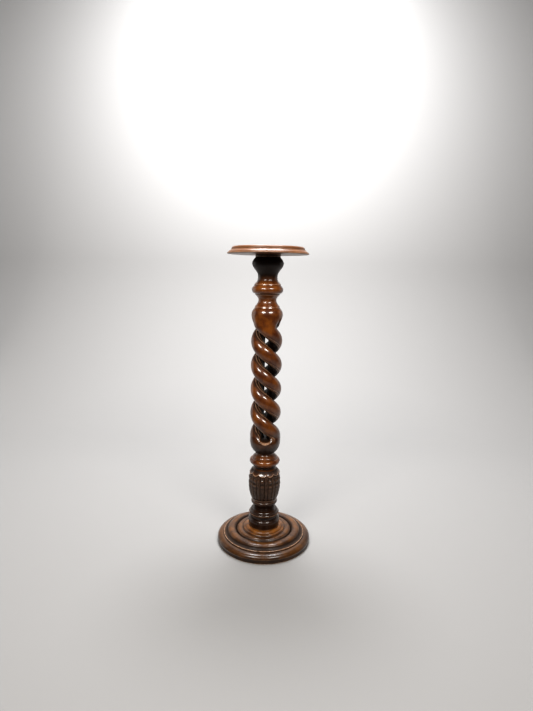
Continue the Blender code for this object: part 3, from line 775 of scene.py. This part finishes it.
def strand_section(radius, cut, rounding):
    """One strand across the slot's own axes, for all heights at once.

    A round rope of radius b on a circle of radius m has r = m + b cos(a) and spread s sin(a).
    Cut blends that with half of the plain shaft, r = R, spread = a. Rounding then takes the
    strand's edges down from the plain shaft's own surface.
    """
    outer = pi * (0.5 - np.arange(STRAND_OUTER_STEPS + 1) / STRAND_OUTER_STEPS)
    inner = -pi * (0.5 + np.arange(1, STRAND_INNER_STEPS) / STRAND_INNER_STEPS)
    middle = (radius + CORE_GAP / 2) / 2
    rope_radius = (radius - CORE_GAP / 2) / 2
    outer_distance = radius + (middle + rope_radius * np.cos(outer) - radius) * rounding
    inner_reach = abs(np.sin(inner))
    inner_distance = radius * inner_reach * (1 - cut) + (middle + rope_radius * np.cos(inner)) * cut
    inner_distance = inner_distance + (radius - middle) * (cut - rounding) * inner_reach**EDGE_SHARPNESS
    outer_spread = outer * (1 - cut) + STRAND_HALF_SPREAD * np.sin(outer) * cut
    shut_side = pi / 2 * np.sign(np.sin(inner))
    inner_spread = shut_side * (1 - cut) + STRAND_HALF_SPREAD * np.sin(inner) * cut
    distance = np.concatenate([outer_distance, inner_distance], axis=1)
    spread = np.concatenate([outer_spread, inner_spread], axis=1)
    return distance * np.sin(spread), distance * np.cos(spread)


print("a strand is", round((TWIST_RADIUS - CORE_GAP / 2) * 1000, 1), "mm thick from the gap outwards")

# %% [markdown]
# On the real strands, thin steps run along both flanks, where one pass of the cutter ended and the
# next began. Each is a low bead beside a shallow groove. The beads are rubbed bright, and beyond
# them the wood falls away into the dark middle of the twist.

# %% Steps along the flanks
FLANK_STEPS = [radians(angle) for angle in (-74.0, -95.0, 47.0, 60.0)]
STEP_RISE = 0.0008
STEP_WIDTH = radians(3.2)
GROOVE_SHARE = 0.9
UNDERSIDE = (radians(26.0), radians(58.0))


def flank_steps():
    """Around one strand: the rise, a bell for each bead less one for the groove beyond it; how much
    is bead; how much is underside; and which part faces the middle of the twist."""
    outer = pi * (0.5 - np.arange(STRAND_OUTER_STEPS + 1) / STRAND_OUTER_STEPS)
    inner = -pi * (0.5 + np.arange(1, STRAND_INNER_STEPS) / STRAND_INNER_STEPS)
    around = np.concatenate([outer, inner])
    beads = sum(hump(around, angle, STEP_WIDTH) for angle in FLANK_STEPS)
    grooves = sum(hump(around, angle + np.sign(angle) * 2 * STEP_WIDTH, STEP_WIDTH) for angle in FLANK_STEPS)
    underside = step(around, *UNDERSIDE)
    return STEP_RISE * (beads - GROOVE_SHARE * grooves), np.clip(beads, 0, 1), underside, abs(around) > pi / 2


print("beads around each strand:", len(FLANK_STEPS))

# %% Rows of the twist
SLOT_CUT_LENGTH = 0.0140
LOWER_ROUNDING_LENGTH = 0.0300
UPPER_ROUNDING_LENGTH = 0.0480
SLOT_END_ARCH = 0.0110
SLOT_ARCH_REACH = 0.0360
SLOT_ARCH_FLATNESS = 6
SLOT_END_STEPS = 22
TWIST_ROWS = 150


def slot_end(rounding_length):
    """Rows near a tip of the slot, at distances L (1 - cos t). The slot's shape there is the
    quarter ellipse cut = sqrt(1 - (1 - distance / cut length)^2)."""
    phase = pi / 2 * np.arange(SLOT_END_STEPS + 1) / SLOT_END_STEPS
    distance = rounding_length * (1 - np.cos(phase))
    shut = np.clip(1 - distance / SLOT_CUT_LENGTH, 0, 1)
    return distance, np.sqrt(1 - shut**2), (1 - np.cos(pi * distance / rounding_length)) / 2


def twist_rows():
    """Heights, how far the slot is cut and rounded, and how far its closed ends arch."""
    lower_distance, lower_cut, lower_rounding = slot_end(LOWER_ROUNDING_LENGTH)
    upper_distance, upper_cut, upper_rounding = slot_end(UPPER_ROUNDING_LENGTH)
    start, end = lower_tip + lower_distance[-1], upper_tip - upper_distance[-1]
    middle = np.linspace(start, end, TWIST_ROWS + 1)[1:-1]
    whole = np.ones(len(middle))
    heights = np.concatenate([lower_tip + lower_distance, middle, upper_tip - upper_distance[::-1]])
    cuts = np.concatenate([lower_cut, whole, upper_cut[::-1]])
    roundings = np.concatenate([lower_rounding, whole, upper_rounding[::-1]])
    low_fade = np.clip(1 - (heights - lower_tip) / SLOT_ARCH_REACH, 0, 1) ** 2
    high_fade = np.clip(1 - (upper_tip - heights) / SLOT_ARCH_REACH, 0, 1) ** 2
    arches = SLOT_END_ARCH * (low_fade - high_fade)
    return [values[:, None] for values in (heights, cuts, roundings, arches)]


print("the twist has", len(twist_rows()[0]), "level cuts")

# %% [markdown]
# The twist is dark inside and bright outside. Towards the middle, where no cloth reaches, the wood
# gets dust and painted shade, and the undersides of the strands get painted shade. The beads along
# the flanks and the lip of each closed end are rubbed. All of this follows from where a point lies in
# its level cut.

# %% Marks of the twist
OPEN_FROM = 0.9
CUT_FADE = 4
LIP_BAND = (0.84, 0.90)
DEEP_BAND = (0.08, 0.30)
UNDERSIDE_PAINTED_SHADE = 0.75
EDGE_CLEARS_DARKENING = 0.6


def twist_marks(from_axis, cuts, roundings, beads, underside, inside):
    """Edge and hollow at each point, from its distance from the axis as a share of the radius."""
    lip = inside * step(from_axis, *LIP_BAND) * (1 - roundings) ** 2
    edge = np.maximum(beads * cuts**CUT_FADE * roundings, lip)
    # The middle of the twist gets dust and painted shade, and the undersides get painted shade.
    deep = step(1 - from_axis, *DEEP_BAND) * (inside | (cuts > OPEN_FROM))
    darkening = np.maximum(deep, UNDERSIDE_PAINTED_SHADE * underside * roundings)
    return edge, np.clip(darkening - EDGE_CLEARS_DARKENING * edge, 0, 1)


# From there inwards the twist gets dust and painted shade.
print("the twist is darkened from", round((1 - DEEP_BAND[1]) * 100), "% of its radius inwards")

# %% Both strands
def twist(skin):
    """Adds both strands. Where the slot is shut they share the points of its closed end, so the
    first and last rows make full circles, which are returned."""
    heights, cuts, roundings, arches = twist_rows()
    radius = shaft_radius(heights)
    along, across = strand_section(radius, cuts, roundings)
    rise, beads, underside, inside = flank_steps()
    section = along + 1j * across
    heading = np.roll(section, -1, axis=1) - np.roll(section, 1, axis=1)
    section = section + 1j * heading / abs(heading) * rise * cuts**CUT_FADE
    from_axis = abs(section) / radius
    edge, hollow = twist_marks(from_axis, cuts, roundings, beads, underside, inside)
    facing = slot_angle(heights)
    lifted = heights + arches * (1 - from_axis**SLOT_ARCH_FLATNESS)
    strands = []
    for flip in (0.0, pi):
        turned = section * np.exp(1j * (facing + flip))
        strands.append(np.stack([turned.real, turned.imag, lifted], axis=-1))
    half = STRAND_OUTER_STEPS
    first = skin.rows(strands[0], edge, hollow)
    second = np.zeros_like(first)
    second[1:-1] = skin.rows(strands[1][1:-1], edge[1:-1], hollow[1:-1])
    for row in (0, -1):
        rim_points = skin.rows(strands[1][row][None, 1:half])[0]
        web = first[row, half + 1:][::-1]
        second[row] = np.concatenate([first[row, half:half + 1], rim_points, first[row, :1], web])
    skin.weave(first)
    skin.weave(second)
    return [np.concatenate([first[row, :half], second[row, :half]]) for row in (0, -1)]


print("a level cut has", 2 * (STRAND_OUTER_STEPS + STRAND_INNER_STEPS), "points")

# %% [markdown]
# ## The shaft in one piece
#
# Drum, vase, ring, bulb, twist, dome and capital are stacked from the floor up, and a bridge of
# triangles joins each to the next. They could be separate meshes that touch, but the real shaft is
# one piece of wood, and one closed skin has no hidden ends inside it.

# %% Rows of the turned parts
SHAFT_ROUNDING = 0.0003
DRUM_ROWS = 76
RING_ROWS = 42
CAPITAL_ROWS = 72
BULB_ROWS = 16
UNDER_BULB_PAINTED_SHADE = 0.80
UNDER_BULB = (0.330, 0.356)
DOME_SEAM_DUST = 0.5
DOME_SEAM_WIDTH = 0.003
UNDER_TOP_PAINTED_SHADOW = 0.80
UNDER_TOP = (0.898, 0.916)


def bulb_outline(start, end):
    """Rows of the plain shaft between two heights, with no marks yet."""
    heights = np.linspace(start, end, BULB_ROWS)[1:-1]
    return np.column_stack([shaft_radius(heights), heights, 0 * heights, 0 * heights])


worn_drum = worn(drum.points, SHAFT_ROUNDING, DRUM_ROWS)
# The drum's rows are made darker too.
worn_drum[:, 3] = np.maximum(worn_drum[:, 3], DRUM_DARKENING)
worn_ring = worn(ring.points, SHAFT_ROUNDING, RING_ROWS)
bulb = bulb_outline(ring.height, lower_tip)
# The bulb's lower half faces down and gets painted shade.
bulb[:, 3] = UNDER_BULB_PAINTED_SHADE * (1 - step(bulb[:, 1], *UNDER_BULB))
dome = bulb_outline(upper_tip, capital_bottom)
dome[:, 3] = DOME_SEAM_DUST * hump(dome[:, 1], capital_bottom, DOME_SEAM_WIDTH)
worn_capital = worn(capital.points, SHAFT_ROUNDING, CAPITAL_ROWS)
# The ball under the top gets painted shadow, cast by the top.
worn_capital[:, 3] = np.maximum(worn_capital[:, 3], UNDER_TOP_PAINTED_SHADOW * step(worn_capital[:, 1], *UNDER_TOP))
print("rows:", [len(rows) for rows in (worn_drum, worn_ring, bulb, dome, worn_capital)])

# %% Put the shaft together
SHAFT_SIDES = 112
lower_facing = float(slot_angle(lower_tip))
upper_facing = float(slot_angle(upper_tip))

skin = Skin()
drum_rows = skin.turned(worn_drum, SHAFT_SIDES, lower_facing)
vase_rows = carved_vase(skin, lower_facing)
ring_rows = skin.turned(worn_ring, SHAFT_SIDES, lower_facing)
bulb_rows = skin.turned(bulb, 2 * STRAND_OUTER_STEPS, lower_facing)
lower_circle, upper_circle = twist(skin)
dome_rows = skin.turned(dome, 2 * STRAND_OUTER_STEPS, upper_facing)
capital_rows = skin.turned(worn_capital, SHAFT_SIDES, upper_facing)
for numbers in (drum_rows, vase_rows, ring_rows, bulb_rows, dome_rows, capital_rows):
    skin.weave(numbers)
joints = [
    (drum_rows[-1], vase_rows[0]),
    (vase_rows[-1], ring_rows[0]),
    (ring_rows[-1], bulb_rows[0]),
    (bulb_rows[-1], lower_circle),
    (upper_circle, dome_rows[0]),
    (dome_rows[-1], capital_rows[0]),
]
for low, high in joints:
    skin.bridge(low, high)
skin.close(drum_rows[0], drum.points[0][1], facing_up=False)
skin.close(capital_rows[-1], capital.height, facing_up=True)
shaft_piece = skin.piece("twisted_shaft", "shaft")

# %% [markdown]
# ## The round top
#
# The top is a disc of board with a moulded edge: a nose at the bottom, an ogee above it, a small
# step, and a rounded upper edge. A cylinder with bevelled corners would have no ogee, so the edge is
# drawn as an outline, as on the foot. Hands and cloths keep it clean, so it carries no grime.

# %% Make the top
TOP_UNDERSIDE_RADIUS = 0.1285
TOP_NOSE_RADIUS = 0.1310
TOP_NOSE_LOWER_HEIGHT = 0.0024
TOP_NOSE_UPPER_RADIUS = 0.1280
TOP_NOSE_UPPER_HEIGHT = 0.0028
TOP_OGEE_RADIUS = 0.1190
TOP_OGEE_HEIGHT = 0.0078
TOP_QUIRK_RADIUS = 0.1150
TOP_QUIRK_HEIGHT = 0.0012
TOP_ROUND_RADIUS = 0.1168
TOP_ROUND_HEIGHT = 0.00905
TOP_FACE_RADIUS = 0.1100
TOP_ROWS = 120
TOP_GRIME_AND_SHADE = 0.0

top = Outline(POLE_RADIUS, capital.height + SEAT_GAP)
top.line(TOP_UNDERSIDE_RADIUS)
top.line(TOP_NOSE_RADIUS, TOP_NOSE_LOWER_HEIGHT)
top.line(TOP_NOSE_UPPER_RADIUS, TOP_NOSE_UPPER_HEIGHT)
top.curve(TOP_OGEE_RADIUS, TOP_OGEE_HEIGHT, "ogee")
top.line(TOP_QUIRK_RADIUS, TOP_QUIRK_HEIGHT)
top.line(TOP_ROUND_RADIUS)
top.curve(TOP_FACE_RADIUS, TOP_ROUND_HEIGHT, "upright to level")
top.line(POLE_RADIUS)
print("the top's face is at", round(top.height, 5), "m")

top_piece = turned_board("round_top", "top_plate", top, TOP_ROWS, TOP_GRIME_AND_SHADE)

# %% [markdown]
# ## The wood's figure
#
# A log has growth rings around its heart, and fine pores along its length. A turned bead cuts
# through the rings, which is why its figure bends with the shape. A picture wrapped around the
# shaft would not do that. So the figure is worked out in space: rings around a heart line that
# runs along the grain, and long thin pores, both read at the surface's own position.

# %% Node helpers
def fill(tree, made, values):
    """Fills a node's inputs: another node's output is linked, and a number or colour is set."""
    for key, value in values.items():
        if isinstance(value, bpy.types.NodeSocket):
            tree.links.new(value, made.inputs[key])
        else:
            made.inputs[key].default_value = value


def node(tree, kind, place, values=None, **settings):
    """Adds a node, sets its settings and fills its inputs."""
    made = tree.nodes.new(kind)
    made.location = place
    for name, value in settings.items():
        setattr(made, name, value)
    fill(tree, made, values or {})
    return made


def calculate(tree, place, operation, *values, clamp=False):
    """A Math node over up to three values, its result kept from 0 to 1 if clamp is set."""
    settings = {"operation": operation, "use_clamp": clamp}
    return node(tree, "ShaderNodeMath", place, dict(enumerate(values)), **settings).outputs[0]


def noise(tree, place, position, scale, detail, roughness=0.5):
    """Soft random blotches from 0 to 1, each about 1 / scale of a metre wide."""
    values = {"Vector": position, "Scale": scale, "Detail": detail, "Roughness": roughness}
    return node(tree, "ShaderNodeTexNoise", place, values).outputs["Fac"]


def mix(tree, place, amount, first, second, blend="MIX"):
    """Two colours mixed: first (1 - amount) + second amount, or first x second with MULTIPLY."""
    values = {0: amount, 6: first, 7: second}
    return node(tree, "ShaderNodeMix", place, values, data_type="RGBA", blend_type=blend).outputs[2]


def group(name, inputs, outputs):
    """Starts a node group. Inputs and outputs are lists of (name, kind of socket)."""
    tree = bpy.data.node_groups.new(name, "ShaderNodeTree")
    for in_out, sockets in (("INPUT", inputs), ("OUTPUT", outputs)):
        for socket_name, kind in sockets:
            tree.interface.new_socket(socket_name, in_out=in_out, socket_type=kind)
    return tree, tree.nodes.new("NodeGroupInput").outputs, tree.nodes.new("NodeGroupOutput").inputs


def ramp(tree, place, value, stops):
    """A ramp of greys with (position, brightness) stops."""
    made = node(tree, "ShaderNodeValToRGB", place, {"Fac": value})
    elements = made.color_ramp.elements
    while len(elements) < len(stops):
        elements.new(0.5)
    for element, (position, brightness) in zip(elements, stops):
        element.position = position
        element.color = (brightness, brightness, brightness, 1)
    return made.outputs["Color"]


# %% Figure of the wood
VECTOR, NUMBER, COLOUR = "NodeSocketVector", "NodeSocketFloat", "NodeSocketColor"
RING_STRETCH = 0.07
RING_WANDER = 0.030
RING_WANDER_SCALE = 14.0
RING_PITCH = 0.004
RING_TONES = [(0.0, 0.15), (0.55, 0.45), (0.88, 1.0), (1.0, 0.15)]
PORE_STRETCH = 0.035
PORE_SCALE = 900.0
PORE_RANGE = [(0.52, 0.0), (0.68, 1.0)]
CLOUD_SCALE = 30.0
CLOUD_RANGE = [(0.36, 0.0), (0.62, 1.0)]


def make_figure():
    """Growth rings, pores and broad clouds, each from 0 to 1, for grain along Z.

    A ring is the fraction of (distance from Z + wander) / pitch. Rings and pores are noise that
    is stretched along the grain.
    """
    outputs = [("Rings", NUMBER), ("Pores", NUMBER), ("Clouds", NUMBER)]
    tree, given, result = group("wood figure", [("Position", VECTOR)], outputs)
    position = given["Position"]
    long = node(tree, "ShaderNodeMapping", (-600, 0), {"Vector": position, "Scale": (1, 1, RING_STRETCH)})
    level = {0: long.outputs[0], 1: (1, 1, 0)}
    flat = node(tree, "ShaderNodeVectorMath", (-400, 0), level, operation="MULTIPLY")
    distance = node(tree, "ShaderNodeVectorMath", (-200, 0), {0: flat.outputs[0]}, operation="LENGTH")
    wander = noise(tree, (-400, 200), long.outputs[0], RING_WANDER_SCALE, 3.0)
    bent = calculate(tree, (0, 0), "MULTIPLY_ADD", wander, RING_WANDER, distance.outputs["Value"])
    within = calculate(tree, (300, 0), "FRACT", calculate(tree, (150, 0), "DIVIDE", bent, RING_PITCH))
    tree.links.new(ramp(tree, (450, 0), within, RING_TONES), result["Rings"])
    thin = node(tree, "ShaderNodeMapping", (-600, -300), {"Vector": position, "Scale": (1, 1, PORE_STRETCH)})
    pores = noise(tree, (-300, -300), thin.outputs[0], PORE_SCALE, 2.0)
    tree.links.new(ramp(tree, (0, -300), pores, PORE_RANGE), result["Pores"])
    clouds = noise(tree, (-300, -600), position, CLOUD_SCALE, 5.0, 0.6)
    tree.links.new(ramp(tree, (0, -600), clouds, CLOUD_RANGE), result["Clouds"])
    return tree


figure_group = make_figure()
print("the wood's rings are", RING_PITCH * 1000, "mm apart")

# %% [markdown]
# ## The old polish
#
# The stand was stained and polished, then used for decades. Stain and grime sit in the hollows, and
# the grime colour there is also painted shade, for the shade that falls into them. Edges are rubbed
# back to lighter wood, but not evenly: they wear most where a hand or a cloth reaches. Ambient
# occlusion could find the hollows, but it is slow and grainy, so the marks that were kept with each
# point are used. One shared group lays it all over any wood colour.

# %% Stain, grime and painted shade
RING_SHARE = 0.16
CLOUD_SHARE = 0.84
GRIME_AND_SHADE_COVER = 0.92
PORE_COVER = 0.26
GRIME_AND_SHADE_COLOUR = (0.013, 0.0056, 0.0022, 1)


def stained(tree, given):
    """The stain's colour, from light to dark by clouds and rings, times the tone and shading by height,
    and covered with grime and painted shade by hollow, and with grime by pores. Also returns how much
    of it is grime and painted shade from hollows."""
    tone = calculate(tree, (-600, 300), "MULTIPLY", given["Rings"], RING_SHARE)
    tone = calculate(tree, (-450, 300), "MULTIPLY_ADD", given["Clouds"], CLOUD_SHARE, tone, clamp=True)
    stain = mix(tree, (-250, 300), tone, given["Light Stain"], given["Dark Stain"])
    toned_and_shaded = mix(tree, (-100, 400), 1.0, stain, given["Tone And Shading"], "MULTIPLY")
    # Grime colour by the hollow mark: real grime, and painted shade in the recesses.
    grime_and_shade = calculate(tree, (-200, -100), "MULTIPLY", given["Hollow"], GRIME_AND_SHADE_COVER, clamp=True)
    pored = calculate(tree, (-200, -250), "MULTIPLY_ADD", given["Pores"], PORE_COVER, grime_and_shade, clamp=True)
    return mix(tree, (0, 200), pored, toned_and_shaded, GRIME_AND_SHADE_COLOUR), grime_and_shade


# %% Rubbed edges, dullness and relief
PATCH_SCALE = 90.0
PATCH_RANGE = [(0.28, 0.0), (0.58, 1.0)]
SMUDGE_SCALE = 38.0
SMUDGES = {"From Min": 0.3, "From Max": 0.7, "To Min": 0.30, "To Max": 0.46}
HOLLOW_DULLNESS = 0.25
RUBBED_DULLNESS = 0.15
GRIME_AND_SHADE_DULL_COAT = -0.9
PORE_RELIEF = -0.5
RING_RELIEF = 0.3


def make_polish():
    """Lays the stain with its tone and shading, covers it with grime and painted shade, rubs the edges in
    patches, and gives roughness, coat and fine relief.
    """
    inputs = [("Position", VECTOR)]
    inputs += [(name, NUMBER) for name in ("Rings", "Pores", "Clouds", "Edge", "Hollow", "Wear", "Polish")]
    inputs += [(name, COLOUR) for name in ("Light Stain", "Dark Stain", "Rubbed", "Tone And Shading")]
    outputs = [("Colour", COLOUR), ("Roughness", NUMBER), ("Coat", NUMBER), ("Height", NUMBER)]
    tree, given, result = group("old polish", inputs, outputs)
    grimed_and_shaded, grime_and_shade = stained(tree, given)
    patchy = noise(tree, (-600, -100), given["Position"], PATCH_SCALE, 5.0, 0.65)
    patches = ramp(tree, (-400, -100), patchy, PATCH_RANGE)
    rub = calculate(tree, (0, -100), "MULTIPLY", given["Edge"], patches)
    rub = calculate(tree, (150, -100), "MULTIPLY", rub, given["Wear"], clamp=True)
    tree.links.new(mix(tree, (300, 200), rub, grimed_and_shaded, given["Rubbed"]), result["Colour"])
    smudge = noise(tree, (-600, -500), given["Position"], SMUDGE_SCALE, 6.0, 0.6)
    dull = node(tree, "ShaderNodeMapRange", (-400, -500), {"Value": smudge, **SMUDGES}).outputs[0]
    dull = calculate(tree, (-200, -500), "MULTIPLY_ADD", given["Hollow"], HOLLOW_DULLNESS, dull)
    dull = calculate(tree, (-50, -500), "MULTIPLY_ADD", rub, RUBBED_DULLNESS, dull)
    tree.links.new(dull, result["Roughness"])
    clean = calculate(tree, (100, -600), "MULTIPLY_ADD", grime_and_shade, GRIME_AND_SHADE_DULL_COAT, 1.0)
    tree.links.new(calculate(tree, (250, -600), "MULTIPLY", clean, given["Polish"]), result["Coat"])
    low = calculate(tree, (-200, -700), "MULTIPLY", given["Pores"], PORE_RELIEF)
    low = calculate(tree, (-50, -700), "MULTIPLY_ADD", given["Rings"], RING_RELIEF, low)
    tree.links.new(low, result["Height"])
    return tree


polish_group = make_polish()
print("the polish group has", len(polish_group.nodes), "nodes")

# %% [markdown]
# ## Three finishes from the same two groups
#
# The shaft's grain runs upwards. The foot and the top are cut from boards that lie flat, so their
# grain runs sideways, which a Mapping node does by turning the position before it is read. Each
# piece could have its own node tree, but with shared groups only the values differ: two stains, the
# rubbed wood, the polish, and a ramp that makes the stain darker and lighter by height, partly as
# painted shade and painted light.

# %% One finish
SPECULAR_LEVEL = 0.20
GRAIN_STRENGTH = 0.25
GRAIN_DEPTH = 0.0004


def wood_finish(name, turn, heart, light, dark, rubbed, wear, coat, coat_roughness, tone_and_shading):
    """A stained and polished wood. Turn and heart place the log that the piece was cut from."""
    material = bpy.data.materials.new(name)
    material.use_nodes = True
    tree = material.node_tree
    shader = tree.nodes["Principled BSDF"]
    place = node(tree, "ShaderNodeTexCoord", (-1200, 0)).outputs["Object"]
    log = {"Vector": place, "Location": heart, "Rotation": turn}
    along = node(tree, "ShaderNodeMapping", (-1000, 0), log).outputs[0]
    figure = node(tree, "ShaderNodeGroup", (-800, 0), node_tree=figure_group)
    tree.links.new(along, figure.inputs["Position"])
    polish = node(tree, "ShaderNodeGroup", (-400, 0), node_tree=polish_group)
    given = {"Position": place, "Wear": wear, "Polish": coat}
    given |= {socket: figure.outputs[socket] for socket in ("Rings", "Pores", "Clouds")}
    given |= {"Light Stain": (*light, 1), "Dark Stain": (*dark, 1), "Rubbed": (*rubbed, 1)}
    for mark, socket in (("edge", "Edge"), ("hollow", "Hollow")):
        given[socket] = node(tree, "ShaderNodeAttribute", (-800, -300), attribute_name=mark).outputs["Fac"]
    # A grey ramp by height multiplies the stain: darker and lighter tone, partly painted shade and painted
    # light.
    height = node(tree, "ShaderNodeSeparateXYZ", (-800, 300), {0: place}).outputs["Z"]
    given["Tone And Shading"] = ramp(tree, (-600, 300), height, tone_and_shading)
    fill(tree, polish, given)
    relief = {"Height": polish.outputs["Height"], "Strength": GRAIN_STRENGTH, "Distance": GRAIN_DEPTH}
    fill(tree, shader, {
        "Base Color": polish.outputs["Colour"],
        "Roughness": polish.outputs["Roughness"],
        "Normal": node(tree, "ShaderNodeBump", (-200, -300), relief).outputs[0],
        "Specular IOR Level": SPECULAR_LEVEL,
        "Coat Weight": polish.outputs["Coat"],
        "Coat Roughness": coat_roughness,
    })
    return material


# %% Finishes of the three pieces
UPRIGHT, SIDEWAYS = (0.0, 0.0, 0.0), (0.0, pi / 2, 0.0)
# Each ramp makes its stain darker and lighter by height. On the shaft it is darker on the drum and the vase,
# painted shade on the lower half of the bulb, painted shadow of the top on the ball under it, painted light
# on the ring's torus, and lighter on the capital. On the foot it is darker on the plinth and the roll and
# painted light on the rings. On the top it is darker on the underside.
SHAFT_TONE_AND_SHADING = [
    (0.060, 0.20), (0.140, 0.20), (0.230, 0.24), (0.262, 0.35), (0.283, 1.15), (0.300, 1.0), (0.325, 0.15),
    (0.370, 0.42), (0.430, 0.90), (0.790, 1.0), (0.830, 1.15), (0.885, 1.0), (0.910, 0.30), (0.975, 0.18),
]
FOOT_TONE_AND_SHADING = [(0.000, 0.16), (0.010, 0.22), (0.016, 0.36), (0.042, 0.46), (0.047, 0.62), (0.050, 1.10)]
TOP_TONE_AND_SHADING = [(0.970, 0.5), (0.980, 1.0), (1.000, 1.1)]

finishes = {
    shaft_piece: wood_finish(
        "shaft stain", UPRIGHT, (0.055, 0.030, 0.0), (0.180, 0.055, 0.0060), (0.058, 0.0125, 0.0013),
        rubbed=(0.43, 0.25, 0.15), wear=0.8, coat=0.95, coat_roughness=0.12, tone_and_shading=SHAFT_TONE_AND_SHADING,
    ),
    foot_piece: wood_finish(
        "foot stain", SIDEWAYS, (0.020, 0.0, 0.16), (0.195, 0.070, 0.0080), (0.056, 0.0180, 0.0026),
        rubbed=(0.52, 0.32, 0.20), wear=1.0, coat=0.55, coat_roughness=0.22, tone_and_shading=FOOT_TONE_AND_SHADING,
    ),
    top_piece: wood_finish(
        "top stain", SIDEWAYS, (0.020, 0.0, -0.9), (0.160, 0.066, 0.026), (0.112, 0.043, 0.016),
        rubbed=(0.45, 0.28, 0.17), wear=0.8, coat=0.16, coat_roughness=0.30, tone_and_shading=TOP_TONE_AND_SHADING,
    ),
}
for thing, material in finishes.items():
    thing.data.materials.append(material)
print("finishes:", [material.name for material in finishes.values()])

# %% [markdown]
# ## Floor, backdrop and light
#
# The stand is shown on a plain pale floor that rises into a backdrop. A flat floor and a separate
# wall would meet in a hard line, so the sheet is bent along a quarter circle instead. Two soft lamps
# hang high in front, side by side, and give every bead its pair of highlights. Two large weak lamps
# at the sides draw a thin light along the edges, and one lamp lights the backdrop alone, so that the
# dark wood stands out against it. A single sky would be quicker, but it has no highlights to show.

# %% Floor and backdrop
FLOOR_HALF_WIDTH = 3.0
FLOOR_FRONT = -1.4
FLOOR_COLOUR = (0.23, 0.225, 0.22)
FLOOR_ROUGHNESS = 0.8
BACKDROP_FOOT = 0.9
BACKDROP_CURVE = 1.0
BACKDROP_HEIGHT = 3.0


def plain(name, colour, roughness):
    """A matt material of one colour."""
    material = bpy.data.materials.new(name)
    material.use_nodes = True
    tree = material.node_tree
    fill(tree, tree.nodes["Principled BSDF"], {"Base Color": (*colour, 1), "Roughness": roughness})
    return material


def sheet(name, profile, material):
    """A sheet as wide as the floor, along a profile of (depth, height)."""
    profile = np.array(profile)
    left = np.column_stack([np.full(len(profile), -FLOOR_HALF_WIDTH), profile])
    right = np.column_stack([np.full(len(profile), FLOOR_HALF_WIDTH), profile])
    start = np.arange(len(profile) - 1)
    quads = np.column_stack([start, start + len(profile), start + len(profile) + 1, start + 1])
    mesh = bpy.data.meshes.new(name)
    mesh.from_pydata(np.vstack([left, right]).tolist(), [], quads.tolist())
    mesh.shade_smooth()
    mesh.materials.append(material)
    made = bpy.data.objects.new(name, mesh)
    bpy.context.scene.collection.objects.link(made)


turn = np.linspace(0, pi / 2, 17)
depth, height = BACKDROP_FOOT + BACKDROP_CURVE * np.sin(turn), BACKDROP_CURVE * (1 - np.cos(turn))
sweep = [(FLOOR_FRONT, 0.0), *zip(depth, height), (depth[-1], BACKDROP_HEIGHT)]
sheet("floor", sweep, plain("pale floor", FLOOR_COLOUR, FLOOR_ROUGHNESS))
print("the floor reaches from", FLOOR_FRONT, "to", depth[-1], "m")

# %% Lamps
WARM, NEARLY_WHITE, COOL = (1.0, 0.97, 0.93), (1.0, 0.98, 0.95), (0.97, 0.98, 1.0)
SURROUND_COLOUR = (0.93, 0.95, 1.0, 1)
SURROUND_STRENGTH = 0.05
lamps = {
    "left lamp": ((-1.05, -1.75, 2.42), (0, 0, 0.60), 1.15, 0.70, 58, WARM),
    "right lamp": ((1.05, -1.75, 2.42), (0, 0, 0.60), 1.15, 0.70, 54, WARM),
    "left rim lamp": ((-2.1, 0.9, 1.0), (0, 0, 0.65), 1.4, 2.0, 6, NEARLY_WHITE),
    "right rim lamp": ((2.1, 0.9, 1.0), (0, 0, 0.65), 1.4, 2.0, 4, NEARLY_WHITE),
    "backdrop lamp": ((0, 0.70, 2.7), (0, 1.9, 0.8), 1.2, 1.2, 165, COOL),
}


def hang(name, place, target, width, height, power, colour):
    """An elliptical soft lamp at a place, turned to face its target, with its power in watts."""
    data = bpy.data.lights.new(name, "AREA")
    data.shape = "ELLIPSE"
    data.size = width
    data.size_y = height
    data.energy = power
    data.color = colour
    made = bpy.data.objects.new(name, data)
    made.location = place
    made.rotation_euler = (Vector(target) - Vector(place)).to_track_quat("-Z", "Y").to_euler()
    bpy.context.scene.collection.objects.link(made)


for name, values in lamps.items():
    hang(name, *values)
surround = bpy.data.worlds.new("surround")
surround.use_nodes = True
given = {"Color": SURROUND_COLOUR, "Strength": SURROUND_STRENGTH}
fill(surround.node_tree, surround.node_tree.nodes["Background"], given)
bpy.context.scene.world = surround
print("lamps:", len(lamps), "with", sum(values[4] for values in lamps.values()), "watts in all")
